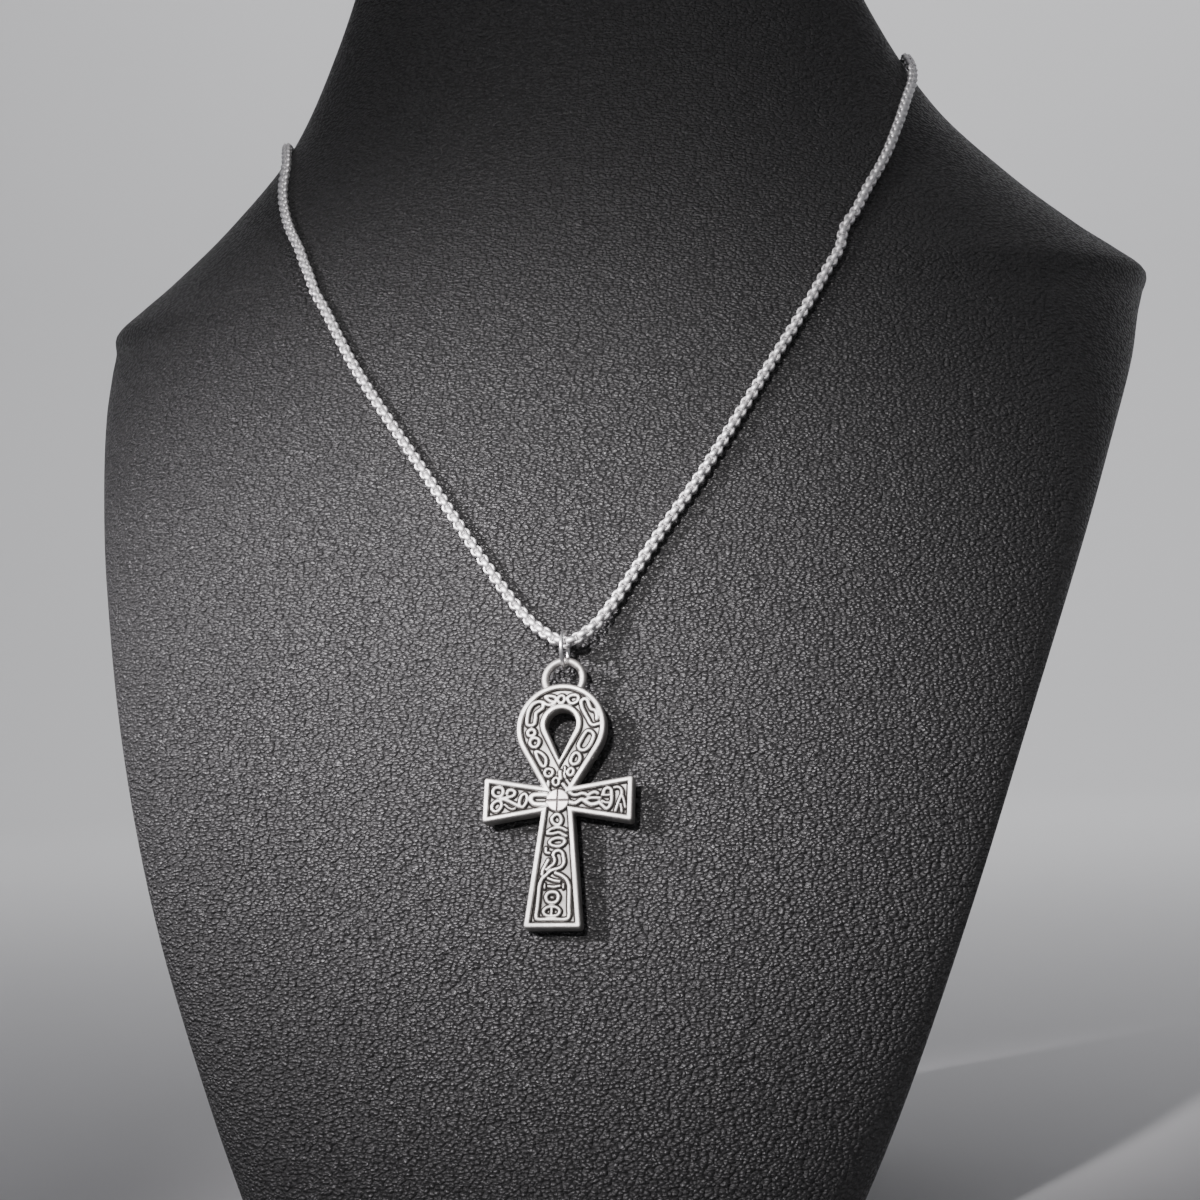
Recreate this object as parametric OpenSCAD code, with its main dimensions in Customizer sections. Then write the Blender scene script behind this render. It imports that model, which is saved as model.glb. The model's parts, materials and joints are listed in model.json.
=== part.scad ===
// Ankh pendant on a rounded box chain, shown on a plain neck bust.
// X is the wearer's left, Y runs to the back and Z is up. The origin is the middle of the base.

/* [Stand] */
// Height of the neck bust
stand_h = 250; // [220:5:300]
// Width across the shoulders
stand_w = 212; // [190:2:240]
// Depth from the foot of the chest to the back of the shoulders
stand_d = 164; // [150:2:180]
// Rounding of the top and bottom edges
stand_round = 4; // [2:0.5:6]

/* [Chain] */
// Width of the rounded box chain
chain_w = 2; // [1.6:0.1:2.2]
// Gap between the chain and the leather it lies on
chain_gap = 0.3; // [0.2:0.05:0.6]
// Length of the barrel clasp behind the neck
clasp_l = 12; // [8:1:16]
// Diameter of the barrel clasp
clasp_d = 3.6; // [3:0.2:5]
// Gap between each chain end and the clasp
clasp_gap = 0.15; // [0.1:0.05:0.4]

/* [Jump ring] */
// Wire diameter of the jump ring
ring_wire = 0.7; // [0.6:0.05:0.8]
// Inner diameter of the jump ring
ring_bore = 5.2; // [5:0.1:5.6]
// Gap between metal pieces that hang on each other
hang_gap = 0.12; // [0.1:0.01:0.15]
// Gap between the metal and the chest
chest_gap = 0.3; // [0.2:0.05:0.6]

/* [Ankh] */
// Width across the arms
arm_span = 24.5; // [22:0.5:28]
// Height of an arm at its end
arm_end_h = 7.7; // [7:0.1:8.5]
// Height of the arms where their edges would cross the middle
arm_mid_h = 3.6; // [3.2:0.1:4]
// Width of the shaft at the middle of the cross
shaft_mid_w = 4.9; // [4.6:0.1:5.2]
// Width of the shaft at its foot
shaft_end_w = 9.4; // [8.6:0.1:10.5]
// Length of the shaft below the middle of the cross
shaft_l = 20.9; // [19:0.1:24]
// Radius of the round top of the loop
loop_r = 7.4; // [7:0.1:8]
// Height of the loop's centre above the middle of the cross
loop_rise = 12.1; // [11.6:0.1:12.6]
// Distance from the loop's centre to where its straight sides would meet
loop_tip = 14.6; // [14.2:0.1:15]
// Radius of the round top of the hole
hole_r = 2.45; // [2.2:0.05:2.7]
// Distance from the hole's centre to its point
hole_tip = 5.85; // [5.4:0.05:6.2]
// Height of the hole's centre above the loop's centre
hole_rise = 0.5; // [0.3:0.1:0.7]
// Thickness of the casting
ankh_t = 2.6; // [2.4:0.1:3]
// Width of the smooth outer rim
rim_w = 1; // [0.9:0.05:1.1]
// Width of the smooth rim round the hole
hole_rim_w = 1; // [0.8:0.05:1.1]
// Depth of the recess inside the rim
recess = 0.5; // [0.4:0.05:0.7]
// Rounding of the outer corners
corner_r = 0.6; // [0.3:0.1:0.8]
// Width of a raised ribbon
ribbon_w = 0.5; // [0.4:0.02:0.54]
// Step from the rim's face down to the ribbons
ribbon_drop = 0.1; // [0.05:0.05:0.2]
// Radius of the middle disc
disc_r = 1.9; // [1.7:0.1:2]
// Width of the cross cut in the disc
cut_w = 0.2; // [0.15:0.05:0.3]
// Height of the eye's wire above the top of the loop
eye_rise = 4.2; // [3.8:0.1:4.6]
// Radius of the hanging eye, to the middle of its wire
eye_r = 3.15; // [3:0.05:3.3]
// Wire diameter of the hanging eye
eye_wire = 1.3; // [1.1:0.05:1.4]
// Turn of the hanging ankh in its own plane
hang_turn = 0.7; // [0:0.1:3]

/* [Hidden] */
$fn = 64;

// Sections of the bust, as shares of its height, half width and depth. The front share is the front
// of the section, the widest share is where it is widest and the back share is its back.
// Columns: height, half width, front, widest, back.
SECTIONS = [
    [0.000, 0.411, -0.008, 0.100, 0.780],
    [0.100, 0.522, 0.055, 0.130, 0.817],
    [0.220, 0.634, 0.121, 0.170, 0.866],
    [0.340, 0.737, 0.187, 0.250, 0.915],
    [0.460, 0.841, 0.258, 0.378, 0.957],
    [0.540, 0.906, 0.311, 0.480, 0.982],
    [0.600, 0.953, 0.351, 0.570, 0.994],
    [0.640, 0.975, 0.378, 0.630, 1.000],
    [0.661, 0.990, 0.393, 0.672, 0.999],
    [0.678, 1.000, 0.405, 0.692, 0.997],
    [0.694, 0.958, 0.417, 0.696, 0.993],
    [0.715, 0.892, 0.431, 0.695, 0.987],
    [0.760, 0.771, 0.460, 0.695, 0.976],
    [0.820, 0.634, 0.494, 0.680, 0.970],
    [0.900, 0.517, 0.530, 0.640, 0.970],
    [1.000, 0.426, 0.561, 0.630, 0.963],
];
// Fullness of the front and the back half of a section; 2 is an ellipse.
front_full = 2.2;
back_full = 2.6;
stand_rings = 48;
stand_turns = 64;
round_steps = 4;

// Where the chain lies in front, from the side of the neck on the left of the view to the other side.
// Columns: place across as a share of the half width, height as a share of the stand's height.
ROUTE = [
    [-0.592, 0.807],
    [-0.580, 0.775],
    [-0.529, 0.723],
    [-0.496, 0.697],
    [-0.475, 0.680],
    [-0.458, 0.667],
    [-0.383, 0.615],
    [-0.301, 0.565],
    [-0.220, 0.518],
    [-0.143, 0.472],
    [-0.058, 0.424],
    [-0.007, 0.402],
    [0.031, 0.393],
    [0.068, 0.402],
    [0.101, 0.421],
    [0.169, 0.466],
    [0.234, 0.507],
    [0.293, 0.549],
    [0.353, 0.593],
    [0.413, 0.638],
    [0.464, 0.685],
    [0.490, 0.710],
    [0.520, 0.738],
    [0.560, 0.785],
    [0.582, 0.826],
];
// Where the chain lies behind the neck, on each side.
// Columns: turn round the neck from the front, height as a share of the stand's height.
ROUTE_LEFT = [[-180, 0.805], [-145, 0.811], [-110, 0.822], [-80, 0.826]];
ROUTE_RIGHT = [[94, 0.862], [120, 0.848], [148, 0.817], [180, 0.805]];
route_steps = 8;
// Rings of the chain's tube on each side, and near the jump ring where it bends most.
side_rings = 34;
bend_rings = 10;
bend_reach = 15;
chain_sides = 8;
// Length over which the jump ring lifts the chain off the chest.
lift_reach = 7;

// Blending of a table's column between its rows, smooth through every row.
function row_of(table, s) = max(0, min(len(table) - 2, len([for (r = table) if (r[0] <= s) r]) - 1));
function smooth(p0, p1, p2, p3, k0, k1, k2, k3, s) =
    let (
        w = k2 - k1,
        t = (s - k1) / w,
        m1 = (p2 - p0) / (k2 - k0) * w,
        m2 = (p3 - p1) / (k3 - k1) * w
    )
    (2 * t * t * t - 3 * t * t + 1) * p1 + (t * t * t - 2 * t * t + t) * m1
        + (3 * t * t - 2 * t * t * t) * p2 + (t * t * t - t * t) * m2;
function column(table, c, s) =
    let (
        i = row_of(table, s),
        a = table[max(i - 1, 0)],
        b = table[i],
        d = table[i + 1],
        e = table[min(i + 2, len(table) - 1)]
    )
    smooth(a[c], b[c], d[c], e[c], a[0], b[0], d[0], e[0], s);

// Half width, front, widest place and back of the bust at a height.
function half_at(z) = stand_w / 2 * column(SECTIONS, 1, z / stand_h);
function front_at(z) = stand_d * (column(SECTIONS, 2, z / stand_h) - 0.5);
function widest_at(z) = stand_d * (column(SECTIONS, 3, z / stand_h) - 0.5);
function back_at(z) = stand_d * (column(SECTIONS, 4, z / stand_h) - 0.5);

// A point of the section at height z. A turn of 0 is the front, 90 the +X side and 180 the back.
function section_point(z, turn, inset) =
    let (
        c = cos(turn),
        s = sin(turn),
        full = c >= 0 ? front_full : back_full,
        reach = c >= 0 ? front_at(z) + inset - widest_at(z) : back_at(z) - inset - widest_at(z)
    )
    [
        (half_at(z) - inset) * sign(s) * pow(abs(s), 2 / full),
        widest_at(z) + reach * pow(abs(c), 2 / full),
        z,
    ];

// The turn at which the section at height z has the place x across, on its front half.
function turn_at(x, z) = sign(x) * asin(pow(min(abs(x) / half_at(z), 1), front_full / 2));
// Outward direction of the bust's surface at a turn and a height.
function outward(z, turn) =
    let (
        across = section_point(z, turn + 1, 0) - section_point(z, turn - 1, 0),
        upward = section_point(z + 1, turn, 0) - section_point(z - 1, turn, 0),
        n = cross(across, upward)
    )
    n / norm(n);

// Heights and insets of the bust's rings, with quarter rounds at the bottom and the top.
function round_rows() = [for (i = [0:round_steps]) [
    stand_round * (1 - sin(90 * i / round_steps)),
    stand_round * (1 - cos(90 * i / round_steps)),
]];
function stand_rows() = concat(
    [for (i = [round_steps:-1:1]) round_rows()[i]],
    [for (i = [0:stand_rings]) [stand_round + (stand_h - 2 * stand_round) * i / stand_rings, 0]],
    [for (i = [1:round_steps]) [stand_h - round_rows()[i][0], round_rows()[i][1]]]
);

// Faces of a skin of rings with count points each, closed by a flat face at each end.
function skin_faces(rings, count) = concat(
    [[for (j = [0:count - 1]) j]],
    [for (i = [0:rings - 2], j = [0:count - 1]) [
        i * count + j,
        (i + 1) * count + j,
        (i + 1) * count + (j + 1) % count,
    ]],
    [for (i = [0:rings - 2], j = [0:count - 1]) [
        i * count + j,
        (i + 1) * count + (j + 1) % count,
        i * count + (j + 1) % count,
    ]],
    [[for (j = [count - 1:-1:0]) (rings - 1) * count + j]]
);

module bust() {
    rows = stand_rows();
    color([0.06, 0.06, 0.065])
        polyhedron(
            points = [for (r = rows, j = [0:stand_turns - 1])
                section_point(r[0], 360 * j / stand_turns, r[1])],
            faces = skin_faces(len(rows), stand_turns),
            convexity = 6
        );
}

// The jump ring hangs round the chain with its plane fore and aft, and clears the chest.
ring_r = (ring_bore + ring_wire) / 2;
vertex_row = [for (p = ROUTE) if (p[1] == min([for (q = ROUTE) q[1]])) p][0];
vertex_x = stand_w / 2 * vertex_row[0];
vertex_z = stand_h * vertex_row[1];
vertex_turn = turn_at(vertex_x, vertex_z);
chest_out = outward(vertex_z, vertex_turn);
chest_slope = atan2(chest_out[2], -chest_out[1]);
// The chain lies in the top of the ring, a turn back from straight up.
play_turn = 30;
chain_play = ring_bore / 2 - chain_w / 2 - hang_gap;
play_back = chain_play * sin(play_turn);
play_up = chain_play * cos(play_turn);
// Lift of the chain off the chest that leaves room for the back of the ring.
chain_lift = ring_bore / 2 + ring_wire + chest_gap - play_back * cos(chest_slope)
    + play_up * sin(chest_slope) - chain_w / 2 - chain_gap;

// The chain lies on the bust, one half width and a gap off it, and more where the jump ring lifts it.
function lifted(x, z) = chain_lift
    * exp(-(pow(x - vertex_x, 2) + pow(z - vertex_z, 2)) / pow(lift_reach, 2));
function chain_place(z, turn, more) = section_point(z, turn, 0)
    + (chain_w / 2 + chain_gap + more) * outward(z, turn);
ring_at = chain_place(vertex_z, vertex_turn, chain_lift) - [0, play_back, play_up];

module jump_ring() {
    color([0.80, 0.80, 0.79])
        translate(ring_at)
            rotate([0, 90, 0])
                rotate_extrude()
                    translate([ring_r, 0])
                        circle(d = ring_wire);
}

// Places along the chain's route, all the way round.
route_knots = concat(
    [for (p = ROUTE_LEFT) [p[0], stand_h * p[1]]],
    [for (p = ROUTE) [turn_at(stand_w / 2 * p[0], stand_h * p[1]), stand_h * p[1]]],
    [for (p = ROUTE_RIGHT) [p[0], stand_h * p[1]]]
);
function route_knot(i) = route_knots[max(0, min(i, len(route_knots) - 1))];
function route_place(i, t) =
    let (
        p = smooth(route_knot(i - 1), route_knot(i), route_knot(i + 1), route_knot(i + 2), -1, 0, 1, 2, t),
        at = section_point(p[1], p[0], 0)
    )
    chain_place(p[1], p[0], lifted(at[0], at[2]));
function route_places() = [
    for (i = [0:len(route_knots) - 2], k = [0:route_steps - 1]) route_place(i, k / route_steps)
];

// The clasp lies across the back of the neck, and the chain stops a gap short of it on each side.
clasp_at = chain_place(stand_h * ROUTE_LEFT[0][1], 180, (clasp_d - chain_w) / 2);
clasp_reach = clasp_l / 2 + clasp_gap;
function behind(p) = p[1] > clasp_at[1] / 2 && abs(p[0]) < clasp_reach;
chain_way = [for (p = route_places()) if (!behind(p)) p];

// Lengths along the chain, and points of it at a length.
chain_marks = [for (i = 0, s = 0; i < len(chain_way); i = i + 1, s = s + (i < len(chain_way)
    ? norm(chain_way[i] - chain_way[i - 1]) : 0)) [s, each chain_way[i]]];
function chain_spot(s) = [for (c = [1:3]) lookup(s, [for (m = chain_marks) [m[0], m[c]]])];
chain_l = chain_marks[len(chain_marks) - 1][0];
vertex_s = [for (m = chain_marks) if (m[3] == min([for (n = chain_marks) n[3]])) m[0]][0];
chain_lengths = concat(
    [for (k = [0:side_rings - 1]) (vertex_s - bend_reach) * k / side_rings],
    [for (k = [0:bend_rings - 1]) vertex_s - bend_reach + 2 * bend_reach * k / bend_rings],
    [for (k = [0:side_rings]) vertex_s + bend_reach + (chain_l - vertex_s - bend_reach) * k / side_rings]
);

// A round tube through points; each ring lies across the mean direction of its neighbours.
function unit(v) = v / norm(v);
function tube_ring(points, i, r) =
    let (
        before = points[max(i - 1, 0)],
        after = points[min(i + 1, len(points) - 1)],
        along = unit(after - before),
        side = unit(cross(along, [0, 0, 1])),
        up = cross(side, along)
    )
    [for (j = [0:chain_sides - 1]) points[i] + r * (cos(360 * j / chain_sides) * side
        + sin(360 * j / chain_sides) * up)];

module chain() {
    points = [for (s = chain_lengths) chain_spot(s)];
    color([0.86, 0.86, 0.87])
        polyhedron(
            points = [for (i = [0:len(points) - 1]) each tube_ring(points, i, chain_w / 2)],
            faces = skin_faces(len(points), chain_sides),
            convexity = 10
        );
}

module clasp() {
    color([0.84, 0.84, 0.85])
        translate(clasp_at)
            rotate([0, 90, 0])
                cylinder(d = clasp_d, h = clasp_l, center = true);
}

// The ankh's own frame has X across, Y up its plane and Z out of its face, with the origin in the
// middle of its thickness where the eye's wire hangs on the jump ring.
eye_at = ring_at - [0, 0, ring_bore / 2 - eye_wire / 2 - hang_gap];
mid_y = -(eye_rise + loop_r + loop_rise);
foot_reach = shaft_l - mid_y;
// The lean at which the foot of the ankh clears the chest by the named gap.
function foot_y(lean) =
    let (z = eye_at[2] - foot_reach * cos(lean) - ankh_t / 2 * sin(lean))
    front_at(z) - chest_gap / cos(chest_slope);
function lean_for(lean, steps) = steps == 0 ? lean
    : lean_for(asin((eye_at[1] + ankh_t / 2 * cos(lean) - foot_y(lean)) / foot_reach), steps - 1);
ankh_lean = lean_for(chest_slope, 6);

module ankh() {
    color([0.72, 0.71, 0.68])
        translate(eye_at)
            rotate([90 - ankh_lean, 0, 0])
                rotate([0, 0, -hang_turn])
                    ankh_casting();
}

// Outline of the ankh, drawn in by an inset: a round loop with straight sides, arms and a shaft that
// widen to their ends.
loop_y = mid_y + loop_rise;
hole_y = loop_y + hole_rise;
foot_at = mid_y - shaft_l;
arm_slope = (arm_end_h - arm_mid_h) / arm_span;
shaft_slope = (shaft_end_w - shaft_mid_w) / 2 / shaft_l;
function arm_half(x, inset) = arm_mid_h / 2 + arm_slope * abs(x) - inset / cos(atan(arm_slope));
function shaft_half(y, inset) = shaft_mid_w / 2 + shaft_slope * (mid_y - y)
    - inset / cos(atan(shaft_slope));

// Points of an arc of radius r that rounds the corner q between p and s.
corner_steps = 5;
function rounded_corner(p, q, s, r) =
    let (
        u = unit(p - q),
        v = unit(s - q),
        half = acos(u * v) / 2,
        middle = q + unit(u + v) * r / sin(half),
        from = q + u * r / tan(half) - middle,
        to = q + v * r / tan(half) - middle,
        sweep = 180 - 2 * half,
        way = cross(from, to) > 0 ? 1 : -1
    )
    r < 0.01 ? [q] : [for (i = [0:corner_steps])
        let (a = way * sweep * i / corner_steps)
        middle + [from[0] * cos(a) - from[1] * sin(a), from[0] * sin(a) + from[1] * cos(a)]];

// A round top with straight sides that meet at a point. The sides touch a circle just inside the top,
// so that they cross its edge cleanly.
side_share = 0.995;
module teardrop(r, tip) {
    side_r = side_share * r;
    lean = asin(side_r / tip);
    circle(r = r);
    polygon([
        [side_r * cos(lean), -side_r * sin(lean)],
        [0, -tip],
        [-side_r * cos(lean), -side_r * sin(lean)],
    ]);
}

module arms(inset) {
    x = arm_span / 2 - inset;
    h = arm_half(x, inset);
    m = arm_half(0, inset);
    r = max(corner_r - inset, 0);
    polygon(concat(
        rounded_corner([0, m], [x, h], [x, -h], r),
        rounded_corner([x, h], [x, -h], [0, -m], r),
        [[0, -m]],
        rounded_corner([0, -m], [-x, -h], [-x, h], r),
        rounded_corner([-x, -h], [-x, h], [0, m], r),
        [[0, m]]
    ));
}

module shaft(inset) {
    y = foot_at + inset;
    w = shaft_half(y, inset);
    m = shaft_half(mid_y, inset);
    r = max(corner_r - inset, 0);
    polygon(concat(
        [[-m, mid_y], [m, mid_y]],
        rounded_corner([m, mid_y], [w, y], [-w, y], r),
        rounded_corner([w, y], [-w, y], [-m, mid_y], r)
    ));
}

module outline(inset) {
    translate([0, loop_y])
        teardrop(loop_r - inset, loop_tip * (1 - inset / loop_r));
    translate([0, mid_y])
        arms(inset);
    shaft(inset);
}

// The rim round the hole is a wider teardrop, thinner along its straight sides.
hole_rim_r = hole_r + hole_rim_w;
hole_rim_tip = hole_tip + 1.5 * hole_rim_w;

// Places on the four sunk panels. On the loop the first value is the turn from its top and the second
// runs from the hole's rim at -1 to the outer rim at 1. On an arm or the shaft the first value runs from
// the disc at 0 to the rim at 1 and the second runs across, with 1 at the upper or the +X rim.
function tear_radius(r, tip, turn) =
    let (a = min(abs(turn), 360 - abs(turn)), bend = 90 + asin(r / tip))
    a <= bend ? r : r / cos(a - bend);
function loop_place(p) =
    let (
        way = [sin(p[0]), cos(p[0])],
        near = [0, hole_y] + tear_radius(hole_rim_r, hole_rim_tip, p[0]) * way,
        far = [0, loop_y] + tear_radius(loop_r - rim_w, loop_tip * (1 - rim_w / loop_r), p[0]) * way
    )
    near + (far - near) * (p[1] + 1) / 2;
function arm_place(side, p) =
    let (x = disc_r + p[0] * (arm_span / 2 - rim_w - disc_r))
    [side * x, mid_y + p[1] * arm_half(x, rim_w)];
function shaft_place(p) =
    let (y = mid_y - disc_r - p[0] * (shaft_l - rim_w - disc_r))
    [p[1] * shaft_half(y, rim_w), y];

function place_on(panel, p) = panel == LOOP ? loop_place(p)
    : panel == SHAFT ? shaft_place(p)
    : arm_place(panel, p);

// The four sunk panels; the arms are named by their side of the middle.
LEFT_ARM = -1;
RIGHT_ARM = 1;
LOOP = 2;
SHAFT = 3;

// Raised oval rings of the knotwork.
// Columns: panel, first place, second place, half length, half width, turn of the long axis from X.
OVALS = [
    [LOOP, 20, 0.1, 0.85, 0.6, -15],
    [LOOP, 120, 0.0, 1.45, 0.75, 52],
    [LOOP, 157, 0.05, 0.85, 0.6, 75],
    [LOOP, 169, 0.3, 0.75, 0.52, 60],
    [LOOP, -99, 0.05, 0.65, 0.6, 0],
    [LOOP, -118.5, 0.1, 0.75, 0.65, 0],
    [LOOP, -148, 0.35, 0.95, 0.6, -60],
    [LOOP, -164.5, 0.65, 0.6, 0.5, 0],
    [LEFT_ARM, 0.84, 0.48, 0.8, 0.7, 0],
    [LEFT_ARM, 0.87, -0.45, 0.9, 0.62, 50],
    [LEFT_ARM, 0.60, 0.42, 0.62, 0.5, 20],
    [LEFT_ARM, 0.40, 0.0, 0.8, 0.52, 85],
    [RIGHT_ARM, 0.63, 0.0, 1.35, 0.7, 80],
    [SHAFT, -0.28, -0.4, 0.5, 0.45, 0],
    [SHAFT, 0.077, 0.0, 0.9, 0.75, 100],
    [SHAFT, 0.277, 0.0, 1.2, 0.62, 3],
    [SHAFT, 0.78, -0.03, 1.1, 1.0, 0],
    [SHAFT, 0.90, -0.05, 1.35, 0.8, 0],
];

// Raised ribbons of the knotwork, each by its panel and the places along its middle line.
RIBBONS = [
    [LOOP, [[-29, -0.5], [-20, -0.6], [-11, -0.5], [-4, 0.3], [3, 0.6], [9, 0.4]]],
    [LOOP, [[-27, 0.6], [-16, 0.65], [-9, 0.4], [-4, -0.3], [3, -0.6], [9, -0.4]]],
    [LOOP, [[36, 0.65], [38, 0.1], [46, -0.35], [60, -0.5], [74, -0.35], [83, 0.1], [86, 0.65]]],
    [LOOP, [[40, 0.65], [49, 0.5], [57, 0.4], [66, 0.6], [76, 0.6]]],
    [LOOP, [[-37, -0.4], [-46, -0.3], [-60, -0.3], [-72, -0.4], [-80, -0.1], [-82, 0.45], [-72, 0.65],
        [-60, 0.7], [-47, 0.7], [-38, 0.35]]],
    [LEFT_ARM, [[0.72, -0.05], [0.64, -0.25], [0.51, -0.55]]],
    [LEFT_ARM, [[0.74, -0.72], [0.66, -0.55], [0.61, -0.2]]],
    [LEFT_ARM, [[-0.02, 0.5], [0.1, 0.5], [0.24, 0.55]]],
    [LEFT_ARM, [[-0.02, -0.5], [0.1, -0.5], [0.24, -0.5]]],
    [RIGHT_ARM, [[-0.02, 0.4], [0.09, 0.5], [0.17, 0.25], [0.25, 0.5], [0.33, 0.25], [0.41, 0.5],
        [0.49, 0.4]]],
    [RIGHT_ARM, [[-0.02, -0.5], [0.09, -0.6], [0.20, -0.3], [0.30, -0.6], [0.40, -0.35], [0.52, -0.5]]],
    [RIGHT_ARM, [[0.79, 0.7], [0.85, 0.4], [0.88, 0.0], [0.94, -0.6]]],
    [RIGHT_ARM, [[0.84, -0.1], [0.81, -0.4], [0.79, -0.75]]],
    [SHAFT, [[0.205, -0.7], [0.17, -0.5], [0.155, -0.1], [0.155, 0.25], [0.17, 0.5], [0.205, 0.7]]],
    [SHAFT, [[0.225, -0.4], [0.21, 0.0], [0.225, 0.4]]],
    [SHAFT, [[0.375, -0.6], [0.335, -0.25]]],
    [SHAFT, [[0.44, -0.12], [0.395, -0.22], [0.355, 0.05], [0.365, 0.45], [0.41, 0.62], [0.46, 0.66],
        [0.505, 0.5], [0.53, 0.2], [0.55, -0.15], [0.59, -0.5]]],
    [SHAFT, [[0.45, -0.35], [0.49, -0.52], [0.54, -0.7]]],
    [SHAFT, [[0.56, 0.35], [0.60, 0.62], [0.65, 0.76], [0.76, 0.8], [0.9, 0.78], [0.945, 0.7], [0.958, 0.4],
        [0.958, -0.4], [0.945, -0.7], [0.86, -0.78], [0.72, -0.8], [0.65, -0.72], [0.61, -0.55]]],
    [SHAFT, [[0.62, -0.35], [0.645, 0.32]]],
    [SHAFT, [[0.685, -0.35], [0.685, 0.35]]],
    [SHAFT, [[0.86, -0.05], [0.94, -0.05]]],
];

// A smooth line through the places on a ribbon's middle, and its edges half a width to either side.
ribbon_steps = 2;
function near_point(p, i) = p[max(0, min(i, len(p) - 1))];
function line_through(p) = concat(
    [for (i = [0:len(p) - 2], k = [0:ribbon_steps - 1])
        smooth(near_point(p, i - 1), p[i], p[i + 1], near_point(p, i + 2), -1, 0, 1, 2, k / ribbon_steps)],
    [p[len(p) - 1]]
);
function edge_of(p, off) = [for (i = [0:len(p) - 1])
    let (d = unit(near_point(p, i + 1) - near_point(p, i - 1)))
    p[i] + off * [-d[1], d[0]]];

module ribbon(middle) {
    line = line_through(middle);
    back = edge_of(line, -ribbon_w / 2);
    polygon(concat(
        edge_of(line, ribbon_w / 2),
        [for (i = [len(back) - 1:-1:0]) back[i]]
    ));
}

// An oval ring whose band lies half a width to either side of its middle line.
oval_sides = 18;
function oval_edge(a, b, off) = [for (i = [0:oval_sides - 1])
    let (
        t = 360 * i / oval_sides,
        out = unit([b * cos(t), a * sin(t)])
    )
    [a * cos(t), b * sin(t)] + off * out];
module oval(a, b) {
    polygon(
        concat(oval_edge(a, b, ribbon_w / 2), oval_edge(a, b, -ribbon_w / 2)),
        [[for (i = [0:oval_sides - 1]) i], [for (i = [0:oval_sides - 1]) oval_sides + i]]
    );
}

module knotwork() {
    for (o = OVALS)
        translate(place_on(o[0], [o[1], o[2]]))
            rotate(o[5])
                oval(o[3], o[4]);
    for (r = RIBBONS)
        ribbon([for (p = r[1]) place_on(r[0], p)]);
}

module disc_cross() {
    for (a = [0, 90])
        translate([0, mid_y, ankh_t / 2])
            rotate([0, 0, a])
                cube([2 * disc_r - ribbon_w, cut_w, recess], center = true);
}

module ankh_casting() {
    floor_z = ankh_t / 2 - recess;
    translate([0, -eye_r, 0])
        rotate_extrude()
            translate([eye_r, 0])
                circle(d = eye_wire);
    difference() {
        union() {
            translate([0, 0, -ankh_t / 2])
                linear_extrude(ankh_t - recess)
                    outline(0);
            translate([0, 0, floor_z])
                linear_extrude(recess)
                    difference() {
                        outline(0);
                        outline(rim_w);
                    }
            translate([0, hole_y, floor_z])
                linear_extrude(recess)
                    teardrop(hole_rim_r, hole_rim_tip);
            translate([0, mid_y, floor_z])
                cylinder(r = disc_r, h = recess);
            translate([0, 0, floor_z])
                linear_extrude(recess - ribbon_drop)
                    knotwork();
        }
        translate([0, hole_y, -ankh_t])
            linear_extrude(2 * ankh_t)
                teardrop(hole_r, hole_tip);
        disc_cross();
    }
}

bust();
chain();
jump_ring();
ankh();
clasp();
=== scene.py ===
"""Ankh pendant on a rounded box chain, shown on a black leatherette neck bust.

The looks of each piece are worked out here as surfaces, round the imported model.
X is the wearer's left, Y runs to the back, Z is up, and every length is in metres.
"""

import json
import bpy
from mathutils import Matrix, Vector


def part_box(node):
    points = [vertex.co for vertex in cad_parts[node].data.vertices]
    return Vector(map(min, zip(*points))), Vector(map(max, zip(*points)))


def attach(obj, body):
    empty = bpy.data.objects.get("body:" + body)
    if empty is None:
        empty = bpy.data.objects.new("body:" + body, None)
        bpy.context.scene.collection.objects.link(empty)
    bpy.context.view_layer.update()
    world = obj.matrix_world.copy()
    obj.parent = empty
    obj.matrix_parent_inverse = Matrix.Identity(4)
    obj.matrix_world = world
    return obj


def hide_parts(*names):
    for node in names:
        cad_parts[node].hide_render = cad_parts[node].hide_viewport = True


bl_info = {
    "name": "Ankh pendant on a neck bust",
    "version": (1, 0, 0),
    "blender": (4, 5, 0),
    "location": "View3D > Sidebar > Pendant",
    "description": "Builds the bust, box chain, jump ring, cast ankh and clasp round the packed model",
    "category": "Object",
}

import bpy
import numpy as np
from bpy.props import FloatProperty, FloatVectorProperty, PointerProperty
from mathutils import Matrix, Vector

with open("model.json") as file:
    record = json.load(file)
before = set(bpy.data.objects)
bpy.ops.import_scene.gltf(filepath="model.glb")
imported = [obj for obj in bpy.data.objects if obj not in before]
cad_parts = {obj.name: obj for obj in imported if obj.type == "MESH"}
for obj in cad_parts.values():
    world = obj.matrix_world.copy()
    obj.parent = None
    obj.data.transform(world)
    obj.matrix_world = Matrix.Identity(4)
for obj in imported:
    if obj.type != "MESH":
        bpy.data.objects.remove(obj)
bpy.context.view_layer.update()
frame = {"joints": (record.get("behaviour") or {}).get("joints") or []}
joint = frame["joints"][0]

MM = 0.001

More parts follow.
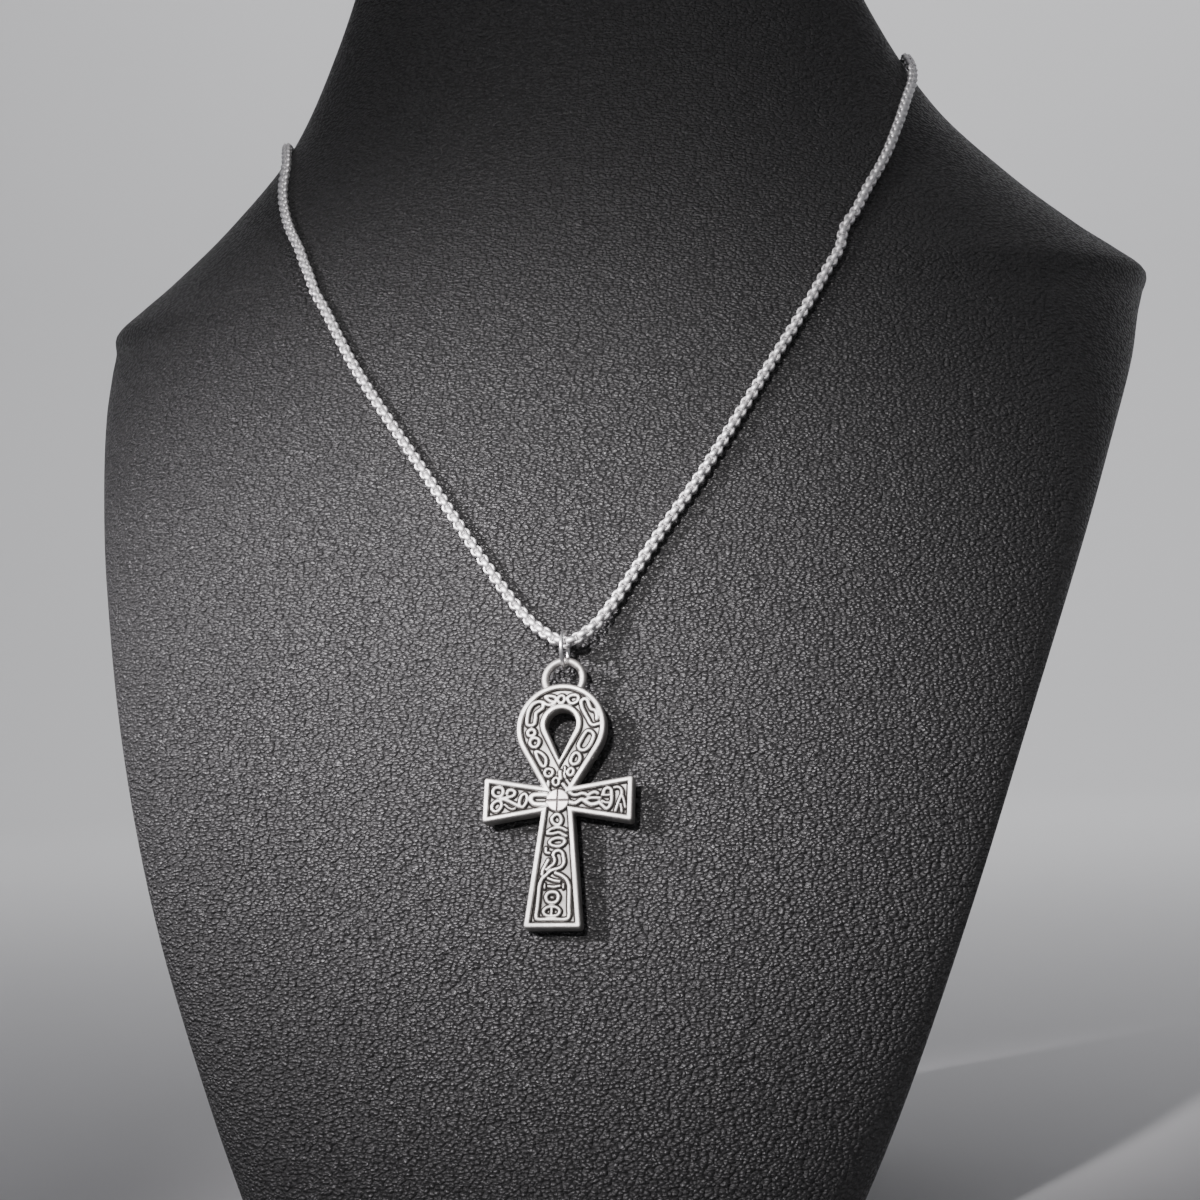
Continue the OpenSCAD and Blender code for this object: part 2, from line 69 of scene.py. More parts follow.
# Sections of the bust, as shares of its height, half width and depth.
# Columns: height, half width, front, widest place, back.
SECTIONS = np.array([
    [0.000, 0.411, -0.008, 0.100, 0.780],
    [0.100, 0.522, 0.055, 0.130, 0.817],
    [0.220, 0.634, 0.121, 0.170, 0.866],
    [0.340, 0.737, 0.187, 0.250, 0.915],
    [0.460, 0.841, 0.258, 0.378, 0.957],
    [0.540, 0.906, 0.311, 0.480, 0.982],
    [0.600, 0.953, 0.351, 0.570, 0.994],
    [0.640, 0.975, 0.378, 0.630, 1.000],
    [0.661, 0.990, 0.393, 0.672, 0.999],
    [0.678, 1.000, 0.405, 0.692, 0.997],
    [0.694, 0.958, 0.417, 0.696, 0.993],
    [0.715, 0.892, 0.431, 0.695, 0.987],
    [0.760, 0.771, 0.460, 0.695, 0.976],
    [0.820, 0.634, 0.494, 0.680, 0.970],
    [0.900, 0.517, 0.530, 0.640, 0.970],
    [1.000, 0.426, 0.561, 0.630, 0.963],
])

# Where the chain lies in front. Columns: place across as a share of the half width, height share.
ROUTE = np.array([
    [-0.592, 0.807], [-0.580, 0.775], [-0.529, 0.723], [-0.496, 0.697], [-0.475, 0.680], [-0.458, 0.667],
    [-0.383, 0.615], [-0.301, 0.565], [-0.220, 0.518], [-0.143, 0.472], [-0.058, 0.424], [-0.007, 0.402],
    [0.031, 0.393], [0.068, 0.402], [0.101, 0.421], [0.169, 0.466], [0.234, 0.507], [0.293, 0.549],
    [0.353, 0.593], [0.413, 0.638], [0.464, 0.685], [0.490, 0.710], [0.520, 0.738], [0.560, 0.785],
    [0.582, 0.826],
])
# Where the chain lies behind the neck. Columns: turn round the neck from the front, height share.
ROUTE_LEFT = np.array([[-180, 0.805], [-145, 0.811], [-110, 0.822], [-80, 0.826]])
ROUTE_RIGHT = np.array([[94, 0.862], [120, 0.848], [148, 0.817], [180, 0.805]])

# Middle lines of the knotwork's ribbons, given in the casting's own frame, in millimetres: places
# across, and up from where the eye hangs. Columns: width of the ribbon, whether it closes on itself, places.
KNOTS = [
    # The loop, from its top round to the right and down, then up the left side.
    (0.66, True, [[-2.75, -6.5], [-2.1, -6.3], [-1.3, -6.45], [-0.9, -6.9], [-1.2, -7.3], [-1.9, -7.2]]),
    (0.62, False, [[-3.1, -7.3], [-2.5, -7.75], [-1.8, -7.85], [-1.1, -7.5]]),
    (0.64, True, [[-0.7, -6.9], [-0.35, -6.35], [0.2, -6.35], [0.45, -6.9], [0.15, -7.45], [-0.4, -7.45]]),
    (0.68, True, [[0.95, -6.8], [1.35, -6.35], [2.1, -6.2], [2.7, -6.55], [2.65, -7.15], [2.05, -7.6],
                  [1.35, -7.55]]),
    (0.68, False, [[5.9, -10.4], [5.85, -9.6], [5.55, -8.95], [4.95, -8.7], [4.55, -8.0], [4.25, -7.2],
                   [3.65, -6.9], [3.25, -7.4], [3.35, -8.3], [3.9, -9.4], [4.45, -10.35], [4.85, -11.1],
                   [5.4, -11.4], [6.2, -11.2]]),
    (0.68, True, [[4.45, -12.35], [5.15, -12.55], [5.5, -13.2], [5.2, -14.2], [4.7, -15.1], [4.0, -15.6],
                  [3.3, -15.45], [3.05, -14.8], [3.4, -13.9], [3.95, -12.9]]),
    (0.66, True, [[2.55, -16.05], [3.15, -16.25], [3.4, -16.95], [3.05, -17.7], [2.35, -17.95],
                  [1.9, -17.5], [2.05, -16.7]]),
    (0.60, True, [[2.0, -18.6], [2.4, -18.95], [2.25, -19.55], [1.8, -19.8], [1.45, -19.4], [1.6, -18.85]]),
    (0.45, False, [[0.95, -18.4], [1.0, -19.0], [0.9, -19.6], [1.1, -20.2]]),
    (0.70, False, [[0.2, -19.1], [0.25, -19.7], [0.35, -20.3]]),
    (0.55, True, [[-0.45, -20.15], [0.05, -20.5], [0.0, -21.2], [-0.45, -21.4], [-0.85, -21.1],
                  [-0.85, -20.5]]),
    (0.62, True, [[-1.65, -18.65], [-1.1, -18.9], [-1.0, -19.4], [-1.45, -19.9], [-2.05, -19.8],
                  [-2.3, -19.3], [-2.1, -18.8]]),
    (0.64, True, [[-3.95, -15.75], [-3.3, -15.85], [-2.5, -16.5], [-2.15, -17.3], [-2.3, -18.1],
                  [-2.75, -18.15], [-3.25, -17.45], [-3.7, -16.6]]),
    (0.66, True, [[-4.3, -13.4], [-3.65, -13.6], [-3.45, -14.2], [-3.85, -14.85], [-4.5, -14.9],
                  [-4.95, -14.4], [-4.85, -13.7]]),
    (0.68, True, [[-4.85, -11.95], [-4.35, -12.15], [-4.25, -12.7], [-4.75, -13.05], [-5.3, -12.9],
                  [-5.4, -12.3]]),
    (0.70, True, [[-3.1, -8.2], [-3.2, -7.4], [-4.0, -7.25], [-4.9, -7.8], [-5.45, -8.9], [-5.65, -10.2],
                  [-5.55, -11.1], [-4.9, -11.25], [-4.4, -11.0], [-4.25, -10.1], [-4.2, -9.2],
                  [-3.7, -8.75]]),
    # Round the upper side of the disc, and the right arm.
    (0.60, False, [[-1.65, -20.75], [-1.65, -21.5], [-1.7, -22.3]]),
    (0.50, False, [[1.35, -20.6], [1.8, -21.2], [2.3, -21.9]]),
    (0.68, False, [[0.75, -21.2], [1.3, -21.9], [1.9, -22.6], [2.5, -23.0], [3.2, -23.0], [3.8, -22.8],
                   [4.4, -22.85], [4.9, -23.1], [5.4, -22.8], [6.0, -22.6], [6.5, -22.8]]),
    (0.80, False, [[1.9, -24.2], [2.9, -24.35], [3.9, -23.8], [4.6, -24.2], [5.4, -24.6], [6.2, -24.55],
                   [6.8, -24.3]]),
    (0.62, False, [[4.5, -23.85], [5.2, -23.6], [6.0, -23.55], [6.9, -23.6]]),
    (0.66, False, [[7.4, -22.9], [7.6, -22.2], [8.15, -21.95], [8.65, -22.3], [8.75, -23.2], [8.75, -24.2],
                   [8.45, -25.0], [8.0, -25.35], [7.5, -25.0], [6.95, -24.5]]),
    (0.50, False, [[7.2, -23.1], [7.9, -23.15], [8.5, -23.1]]),
    (0.50, False, [[7.3, -24.1], [7.8, -24.35], [8.4, -24.4]]),
    (0.56, False, [[9.2, -21.9], [9.8, -21.85], [10.25, -22.2], [10.4, -22.9], [10.1, -23.7], [9.75, -24.7],
                   [9.45, -25.7]]),
    (0.44, False, [[10.5, -23.3], [10.8, -24.2], [11.0, -25.2]]),
    (0.44, False, [[10.25, -24.7], [10.4, -25.4], [10.45, -25.9]]),
    # The left arm, from its end to the disc.
    (0.68, True, [[-9.85, -21.6], [-9.2, -21.8], [-9.0, -22.4], [-9.3, -23.0], [-9.95, -23.15],
                  [-10.55, -22.85], [-10.7, -22.2], [-10.4, -21.7]]),
    (0.66, True, [[-9.95, -23.85], [-9.35, -24.0], [-9.15, -24.6], [-9.5, -25.3], [-10.15, -25.6],
                  [-10.7, -25.2], [-10.65, -24.4]]),
    (0.72, False, [[-9.3, -23.5], [-8.5, -23.7], [-7.6, -24.1], [-6.8, -24.5], [-6.2, -24.8]]),
    (0.66, False, [[-8.35, -22.7], [-8.15, -22.15], [-7.5, -22.1], [-7.05, -22.5], [-7.35, -23.05],
                   [-8.1, -23.25], [-8.9, -23.45]]),
    (0.42, False, [[-8.6, -24.5], [-8.0, -25.0], [-7.4, -25.25], [-6.9, -25.1]]),
    (0.62, True, [[-5.4, -22.75], [-5.0, -23.3], [-5.15, -24.2], [-5.65, -24.9], [-6.2, -24.6],
                  [-6.2, -23.7], [-5.9, -23.0]]),
    (0.95, False, [[-1.9, -22.95], [-3.2, -22.9], [-4.1, -23.0], [-4.4, -23.7], [-3.9, -24.35],
                   [-3.0, -24.5], [-1.9, -24.5]]),
    # The shaft, from the disc to its foot.
    (0.66, True, [[-0.15, -26.2], [0.45, -26.4], [0.75, -27.1], [0.55, -27.75], [-0.05, -27.9],
                  [-0.65, -27.5], [-0.8, -26.8]]),
    (0.58, False, [[1.6, -28.85], [1.0, -28.5], [0.2, -28.35], [-0.8, -28.55], [-1.4, -29.0]]),
    (0.58, False, [[-1.4, -29.35], [-0.5, -29.35], [0.4, -29.15], [1.1, -29.5], [1.65, -29.75]]),
    (0.62, True, [[-1.0, -30.75], [-0.6, -30.3], [0.3, -30.05], [1.2, -30.25], [1.45, -30.75],
                  [0.9, -31.3], [0.1, -31.4], [-0.7, -31.2]]),
    (0.58, False, [[-1.55, -31.7], [-1.5, -32.4], [-0.95, -32.5]]),
    (0.64, False, [[-0.35, -32.9], [-0.15, -32.35], [0.5, -32.1], [1.15, -32.5], [1.35, -33.3],
                   [1.45, -34.1], [1.05, -34.75], [0.3, -35.05], [-0.5, -35.3], [-1.2, -35.9],
                   [-1.8, -36.5]]),
    (0.58, False, [[-0.35, -32.9], [-0.05, -33.6], [-0.2, -34.25], [-0.75, -34.7], [-1.3, -35.2]]),
    (0.60, False, [[-1.1, -33.6], [-1.5, -34.4], [-1.9, -35.3], [-2.0, -36.0]]),
    (0.68, False, [[0.2, -35.75], [1.1, -36.1], [1.95, -36.8], [2.4, -37.8], [2.5, -39.5], [2.55, -41.5],
                   [2.6, -42.6], [2.1, -43.1], [0.0, -43.1], [-2.2, -43.1], [-2.65, -42.7], [-2.5, -41.0],
                   [-2.4, -39.0], [-2.3, -37.6], [-1.95, -36.6]]),
    (0.56, False, [[-0.95, -36.6], [0.0, -36.95], [0.85, -37.05]]),
    (0.52, False, [[-0.85, -37.85], [0.0, -37.95], [0.9, -37.8]]),
    (0.34, False, [[-1.5, -37.5], [-1.5, -38.2]]),
    (0.34, False, [[1.5, -37.5], [1.5, -38.2]]),
    (0.66, True, [[-0.2, -38.75], [0.5, -38.95], [0.8, -39.6], [0.5, -40.3], [-0.2, -40.5], [-0.9, -40.3],
                  [-1.2, -39.6], [-0.9, -38.95]]),
    (0.40, False, [[-0.3, -39.65], [-0.1, -39.65]]),
    (0.60, True, [[-0.2, -41.1], [-1.0, -41.25], [-1.5, -41.8], [-1.2, -42.4], [-0.2, -42.6],
                  [0.8, -42.4], [1.1, -41.8], [0.6, -41.25]]),
    (0.48, False, [[-0.2, -41.2], [-0.2, -42.6]]),
]


def length(name, default, description):
    """A length that a user may change, in metres."""
    return FloatProperty(name=name, description=description, default=default, min=0.0, subtype="DISTANCE",
                         unit="LENGTH", precision=5)


def number(name, default, description, low=0.0, high=1000.0):
    """A plain number that a user may change."""
    return FloatProperty(name=name, description=description, default=default, min=low, max=high)


def colour(name, default, description):
    """A colour that a user may change."""
    return FloatVectorProperty(name=name, description=description, default=default, size=3, min=0.0, max=1.0,
                               subtype="COLOR")


class PendantBust(bpy.types.PropertyGroup):
    """Sizes and leather of the neck bust."""

    height: length("Height", 0.250, "Height of the bust")
    width: length("Width", 0.212, "Width across the shoulders")
    depth: length("Depth", 0.164, "Depth from the foot of the chest to the shoulders' back")
    rounding: length("Edge rounding", 0.004, "Rounding of the top and bottom edges")
    front_full: number("Front fullness", 2.2, "Fullness of the front half", 1.5, 4.0)
    back_full: number("Back fullness", 2.6, "Fullness of the back half", 1.5, 4.0)
    leather: colour("Leather", (0.008, 0.0077, 0.008), "Colour of the leatherette")
    pebble: length("Pebble", 0.00076, "Width of a pebble of the grain")
    pebble_depth: length("Pebble depth", 0.00030, "Depth of the grain")


class PendantChain(bpy.types.PropertyGroup):
    """Sizes and metal of the rounded box chain and its clasp."""

    width: length("Width", 0.0020, "Outer width and length of a link")
    band: length("Band", 0.00046, "Thickness of a link's band")
    band_width: length("Band width", 0.00095, "Width of a link's band")
    pitch: length("Pitch", 0.00106, "Distance from one link to the next")
    gap: length("Gap", 0.0003, "Gap between the chain and the leather")
    lift: length("Lift", 0.00207, "Lift of the chain off the chest at the jump ring")
    lift_reach: length("Lift reach", 0.007, "Length over which the chain is lifted")
    silver: colour("Silver", (0.93, 0.92, 0.92), "Colour of the polished silver")


class PendantRing(bpy.types.PropertyGroup):
    """Sizes of the jump ring."""

    wire: length("Wire", 0.0007, "Wire diameter of the jump ring")
    cut: number("Cut", 1.6, "Opening of the cut, in degrees", 0.5, 6.0)


class PendantAnkh(bpy.types.PropertyGroup):
    """Sizes and metal of the cast ankh."""

    arm_span: length("Arm span", 0.0245, "Width across the arms")
    arm_end: length("Arm end", 0.0077, "Height of an arm at its end")
    arm_middle: length("Arm middle", 0.0036, "Height of the arms where they would cross the middle")
    shaft_middle: length("Shaft middle", 0.0049, "Width of the shaft at the middle")
    shaft_end: length("Shaft end", 0.0094, "Width of the shaft at its foot")
    shaft_length: length("Shaft length", 0.0209, "Length of the shaft below the middle")
    loop_radius: length("Loop radius", 0.0074, "Radius of the loop's round top")
    loop_rise: length("Loop rise", 0.0121, "Height of the loop's centre above the middle")
    loop_tip: length("Loop tip", 0.0146, "Distance from the loop's centre to where its sides would meet")
    hole_radius: length("Hole radius", 0.00245, "Radius of the hole's round top")
    hole_tip: length("Hole tip", 0.00585, "Distance from the hole's centre to its point")
    hole_rise: length("Hole rise", 0.0005, "Height of the hole's centre above the loop's centre")
    thickness: length("Thickness", 0.0026, "Thickness of the casting")
    rim: length("Rim", 0.0010, "Width of the smooth outer rim")
    hole_rim: length("Hole rim", 0.0010, "Width of the smooth rim round the hole")
    recess: length("Recess", 0.0005, "Depth of the sunk panels")
    corner: length("Corner", 0.0006, "Rounding of the outer corners")
    ribbon_drop: length("Ribbon drop", 0.00008, "Step from the rim down to the ribbons")
    disc: length("Disc", 0.0019, "Radius of the middle disc")
    disc_drop: length("Disc drop", 0.0002, "Drop of the disc below the middle")
    eye_rise: length("Eye rise", 0.0042, "Height of the eye's wire above the loop")
    eye_radius: length("Eye radius", 0.00315, "Radius of the hanging eye")
    eye_wire: length("Eye wire", 0.0013, "Wire diameter of the hanging eye")
    lean: number("Lean", 18.332, "Lean of the hanging ankh, in degrees", 0.0, 90.0)
    hang_turn: number("Hang turn", 0.7, "Turn of the ankh in its own plane, in degrees", -10.0, 10.0)
    grid: length("Grid", 0.0001, "Spacing of the points on the face")
    silver: colour("Silver", (0.435, 0.423, 0.407), "Colour of the worn silver")
    oxide: colour("Oxide", (0.042, 0.039, 0.037), "Colour of the dark finish in the grooves")


class PendantStage(bpy.types.PropertyGroup):
    """Colours and light of the plain studio."""

    floor: colour("Floor", (0.66, 0.66, 0.67), "Colour of the floor and the wall")
    radius: length("Radius", 1.5, "Radius of the flat floor")
    key: number("Key light", 96.0, "Power of the main light, in watts")
    fill: number("Side light", 114.0, "Power of the light from the left, in watts")
    wall: number("Wall light", 23.0, "Power of the light on the wall behind, in watts")
    upper: number("Chain lights", 28.0, "Power of each light on the upper chain, in watts")


# Shared working of the surfaces.

def cubic(p0, p1, p2, p3, k0, k1, k2, k3, s):
    """A cubic from p1 to p2, with the slopes of the chords (p2 - p0)/(k2 - k0) and (p3 - p1)/(k3 - k1)."""
    w = k2 - k1
    t = (s - k1) / w
    m1 = (p2 - p0) / (k2 - k0) * w
    m2 = (p3 - p1) / (k3 - k1) * w
    return ((2 * t**3 - 3 * t**2 + 1) * p1 + (t**3 - 2 * t**2 + t) * m1
            + (3 * t**2 - 2 * t**3) * p2 + (t**3 - t**2) * m2)


def table_column(table, column, s):
    """A table's column at the key s, by a cubic through every row."""
    keys = table[:, 0]
    i = np.clip(np.searchsorted(keys, s, side="right") - 1, 0, len(keys) - 2)
    a, b = np.maximum(i - 1, 0), np.minimum(i + 2, len(keys) - 1)
    rows = (a, i, i + 1, b)
    return cubic(*(table[r, column] for r in rows), *(keys[r] for r in rows), s)


def line_through(points, shut, steps):
    """A smooth line through points: between each two, a cubic with the slopes of their neighbours' chords."""
    p = np.asarray(points, float)
    n = len(p)
    spans = n if shut else n - 1
    i = np.repeat(np.arange(spans), steps)
    t = np.tile(np.arange(steps) / steps, spans)[:, None]
    near = [(i + k) % n if shut else np.clip(i + k, 0, n - 1) for k in (-1, 0, 1, 2)]
    line = cubic(*(p[j] for j in near), -1.0, 0.0, 1.0, 2.0, t)
    return np.concatenate([line, line[:1] if shut else p[-1:]])


def unit(v):
    """Vectors brought to length 1."""
    return v / np.linalg.norm(v, axis=-1, keepdims=True)


def grid_faces(rows, cols, wrap_rows=False):
    """Quads of a grid of rows by cols points, closed along its columns and, where asked, along its rows."""
    i, j = np.meshgrid(np.arange(rows if wrap_rows else rows - 1), np.arange(cols), indexing="ij")
    i, j = i.ravel(), j.ravel()
    ni, nj = (i + 1) % rows, (j + 1) % cols
    return np.stack([i * cols + j, i * cols + nj, ni * cols + nj, ni * cols + j], axis=1)


def enclosed(points, quads, tris):
    """The volume that the faces enclose, above zero where they point outwards."""
    f = np.concatenate([quads[:, [0, 1, 2]], quads[:, [0, 2, 3]], tris])
    a, b, c = points[f[:, 0]], points[f[:, 1]], points[f[:, 2]]
    return float((a * np.cross(b, c)).sum() / 6)


def add_object(name, data):
    """An object in the scene that holds a mesh, a light or a camera."""
    made = bpy.data.objects.new(name, data)
    bpy.context.scene.collection.objects.link(made)
    return made


def smooth_mesh(name, material, points, quads, tris):
    """A smoothly shaded mesh of one material."""
    mesh = bpy.data.meshes.new(name)
    mesh.from_pydata(points.tolist(), [], quads.tolist() + tris.tolist())
    mesh.polygons.foreach_set("use_smooth", np.full(len(mesh.polygons), True))
    mesh.materials.append(material)
    return mesh


def build_piece(name, node, slot, material, points, quads, tris=(), body="stand", values=None):
    """Puts a closed surface into an object at the origin that rides on its body, with its faces outwards.

    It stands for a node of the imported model. The values are kept at the points, for the material to read."""
    quads = np.asarray(quads, int)
    tris = np.asarray(tris, int).reshape(-1, 3)
    centre = points.mean(axis=0)
    if enclosed(points - centre, quads, tris) < 0:
        quads, tris = quads[:, ::-1], tris[:, ::-1]
    mesh = smooth_mesh(name, material, points, quads, tris)
    for key, value in (values or {}).items():
        attribute = mesh.attributes.new(key, "FLOAT", "POINT")
        attribute.data.foreach_set("value", np.asarray(value, np.float32))
    mesh.update()
    if mesh.validate():
        raise RuntimeError("the mesh of " + name + " had faces that Blender refused")
    piece = add_object(name, mesh)
    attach(piece, body)
    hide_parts(node)


# Materials.

class Finish:
    """A material and short ways to add and join its nodes."""

    # A mix node's sockets for its factor, its two colours and the mixed colour.
    mix_inputs, mix_output = (0, 6, 7), 2

    def __init__(self, name, **sockets):
        self.material = bpy.data.materials.new(name)
        self.material.use_nodes = True
        self.nodes = self.material.node_tree.nodes
        self.links = self.material.node_tree.links
        self.shader = self.nodes["Principled BSDF"]
        for socket, value in sockets.items():
            self.shader.inputs[socket.replace("_", " ")].default_value = value

    def feed(self, socket, value):
        """Joins an input to another node's output, or sets it to a fixed value."""
        if isinstance(value, bpy.types.NodeSocket):
            self.links.new(value, socket)
        else:
            socket.default_value = value

    def node(self, kind, settings=None, **inputs):
        """Adds a node with its options. An input is given by its name, or as i and its place."""
        made = self.nodes.new(kind)
        for key, value in (settings or {}).items():
            setattr(made, key, value)
        for key, value in inputs.items():
            placed = key[0] == "i" and key[1:].isdigit()
            self.feed(made.inputs[int(key[1:]) if placed else key.replace("_", " ")], value)
        return made

    def math(self, operation, a, b):
        """One step of arithmetic on two values."""
        return self.node("ShaderNodeMath", {"operation": operation}, i0=a, i1=b).outputs[0]

    def ramp(self, value, low, high, start=0.0, end=1.0):
        """A value carried from the range low to high into start to end, smoothly."""
        return self.node("ShaderNodeMapRange", {"interpolation_type": "SMOOTHSTEP"}, Value=value,
                         From_Min=low, From_Max=high, To_Min=start, To_Max=end).outputs["Result"]

    def place(self, scale=(1, 1, 1)):
        """The point of the surface in the part's own frame, stretched."""
        where = self.node("ShaderNodeTexCoord").outputs["Object"]
        return self.node("ShaderNodeMapping", Vector=where, Scale=scale).outputs["Vector"]

    def noise(self, vector, scale, detail=3.0, roughness=0.5):
        """Soft noise of a given number of waves to the metre."""
        return self.node("ShaderNodeTexNoise", Vector=vector, Scale=scale, Detail=detail,
                         Roughness=roughness).outputs["Fac"]

    def mix(self, factor, a, b):
        """A colour between a and b, each another node's output or a tuple of three."""
        made = self.node("ShaderNodeMix", {"data_type": "RGBA"})
        for i, value in zip(self.mix_inputs, (factor, a, b)):
            self.feed(made.inputs[i], (*value, 1.0) if isinstance(value, tuple) else value)
        return made.outputs[self.mix_output]

    def drive(self, socket, value):
        """Joins a value to one of the shader's sockets."""
        self.links.new(value, self.shader.inputs[socket])

    def bump(self, height, distance):
        """Raises the surface by a height of 0 to 1 times a distance in metres."""
        made = self.node("ShaderNodeBump", Strength=1.0, Distance=distance, Height=height)
        self.links.new(made.outputs["Normal"], self.shader.inputs["Normal"])


def leatherette(settings):
    """Black leatherette: close round pebbles drawn out sideways, painted shade in the creases, a painted
    highlight on each pebble's crown, and a soft uneven sheen.

    A pebble falls with the square of the distance from its middle, and fine noise roughens it."""
    # The last of these numbers brightens the pebbles' crowns as a painted highlight.
    drawn_out, bend_scale, bend_reach, fall, roughening, highlight_gain_painted = 1.45, 0.6, 0.9, 1.9, 0.35, 1.8
    made = Finish("black_leatherette", Metallic=0.0, Specular_IOR_Level=0.70)
    waves = 1.0 / settings.pebble
    where = made.place(scale=(1.0, 1.0, drawn_out))
    bend = made.node("ShaderNodeTexNoise", Vector=where, Scale=waves * bend_scale,
                     Detail=1.0).outputs["Color"]
    centred = made.node("ShaderNodeVectorMath", {"operation": "SUBTRACT"}, i0=bend,
                        i1=(0.5, 0.5, 0.5)).outputs[0]
    pushed = made.node("ShaderNodeVectorMath", {"operation": "SCALE"}, i0=centred,
                       Scale=settings.pebble * bend_reach).outputs[0]
    bent = made.node("ShaderNodeVectorMath", {"operation": "ADD"}, i0=where, i1=pushed).outputs[0]
    pebbles = made.node("ShaderNodeTexVoronoi", {"feature": "F1"}, Vector=bent, Scale=waves,
                        Randomness=0.9)
    off = pebbles.outputs["Distance"]
    crown = made.math("SUBTRACT", 1.0, made.math("MULTIPLY", off, made.math("MULTIPLY", off, fall)))
    uneven = made.noise(bent, waves * 2.0, roughness=0.6)
    height = made.math("ADD", crown, made.math("MULTIPLY", uneven, roughening))
    made.bump(height, settings.pebble_depth)
    broad = made.noise(made.place(), 22.0)
    base = tuple(settings.leather)
    # A lighter copy of the leather colour on the pebbles' crowns is a painted highlight, and the darker colour
    # left in the creases is painted shade.
    painted_crown_highlight = tuple(min(1.0, c * highlight_gain_painted) for c in base)
    made.drive("Base Color", made.mix(made.ramp(crown, 0.35, 0.9), base, painted_crown_highlight))
    made.drive("Roughness", made.math("ADD", made.ramp(broad, 0.3, 0.7, 0.38, 0.44),
                                      made.ramp(crown, 0.3, 0.8, 0.22, 0.0)))
    return made.material


def polished_silver(name, settings, low, high):
    """Bright silver with faint handling marks that blur its gloss here and there."""
    made = Finish(name, Metallic=1.0)
    where = made.place()
    marks = made.noise(where, 900.0, detail=4.0, roughness=0.6)
    broad = made.noise(where, 120.0, detail=2.0)
    base = tuple(settings.silver)
    dulled = 0.86
    dull = tuple(c * dulled for c in base)
    made.drive("Base Color", made.mix(made.ramp(broad, 0.35, 0.75), base, dull))
    made.drive("Roughness", made.ramp(made.math("ADD", made.math("MULTIPLY", marks, 0.6),
                                                made.math("MULTIPLY", broad, 0.4)), 0.3, 0.7, low, high))
    made.bump(made.noise(where, 2600.0, roughness=0.6), 0.000006)
    return made.material


def antiqued_silver(settings):
    """Cast silver, worn bright on the rims and ribbons and dark in the grooves, with a soft cast grain."""
    made = Finish("antiqued_cast_silver", Metallic=1.0)
    where = made.place()
    dark = made.node("ShaderNodeAttribute", {"attribute_name": "oxide"}).outputs["Fac"]
    rosy = made.node("ShaderNodeAttribute", {"attribute_name": "rosy"}).outputs["Fac"]
    fine = made.noise(where, 2400.0, detail=4.0, roughness=0.65)
    broad = made.noise(where, 260.0)
    uneven = made.math("ADD", dark, made.math("MULTIPLY", made.math("SUBTRACT", broad, 0.5), 0.30))
    groove = made.ramp(uneven, 0.22, 0.80)
    bright, rosy_silver = tuple(settings.silver), (0.40, 0.355, 0.35)
    dulled = 0.84
    worn = tuple(c * dulled for c in bright)
    face = made.mix(made.ramp(fine, 0.35, 0.72), bright, worn)
    face = made.mix(rosy, face, rosy_silver)
    made.drive("Base Color", made.mix(groove, face, tuple(settings.oxide)))
    made.drive("Roughness", made.math("ADD", made.ramp(broad, 0.3, 0.7, 0.44, 0.54),
                                      made.math("MULTIPLY", groove, 0.25)))
    height = made.math("ADD", made.math("MULTIPLY", fine, 0.5), made.math("MULTIPLY", broad, 1.4))
    made.bump(height, 0.000022)
    return made.material


def plain_paper(settings):
    """The matt pale sweep of the studio, with a barely seen mottle."""
    made = Finish("pale_sweep", Roughness=0.85, Specular_IOR_Level=0.2)
    mottle = made.noise(made.place(), 3.0)
    base = tuple(settings.floor)
    made.drive("Base Color", made.mix(made.ramp(mottle, 0.3, 0.7), base, tuple(c * 0.985 for c in base)))
    return made.material


# The bust and the chain's way round it.

def bust_sizes(bust, z):
    """Half width, front, widest place and back of the bust at the height z."""
    share = z / bust.height
    half = bust.width / 2 * table_column(SECTIONS, 1, share)
    front, widest, back = (bust.depth * (table_column(SECTIONS, c, share) - 0.5) for c in (2, 3, 4))
    return half, front, widest, back


def bust_point(bust, z, turn, inset=0.0):
    """A point of the section at height z: x = half |sin|^(2/f), y = widest + reach |cos|^(2/f).

    A turn of 0 is the front and 180 the back, and the two halves have their own reach and fullness."""
    half, front, widest, back = bust_sizes(bust, z)
    c, s = np.cos(np.radians(turn)), np.sin(np.radians(turn))
    full = np.where(c >= 0, bust.front_full, bust.back_full)
    reach = np.where(c >= 0, front + inset - widest, back - inset - widest)
    return np.stack([
        (half - inset) * np.sign(s) * np.abs(s) ** (2 / full),
        widest + reach * np.abs(c) ** (2 / full),
        z + 0 * turn,
    ], axis=-1)


def outward(bust, z, turn):
    """Direction out of the bust: across times upward, each from points a small step to either side."""
    across = bust_point(bust, z, turn + 1) - bust_point(bust, z, turn - 1)
    upward = bust_point(bust, z + MM, turn) - bust_point(bust, z - MM, turn)
    return unit(np.cross(across, upward))


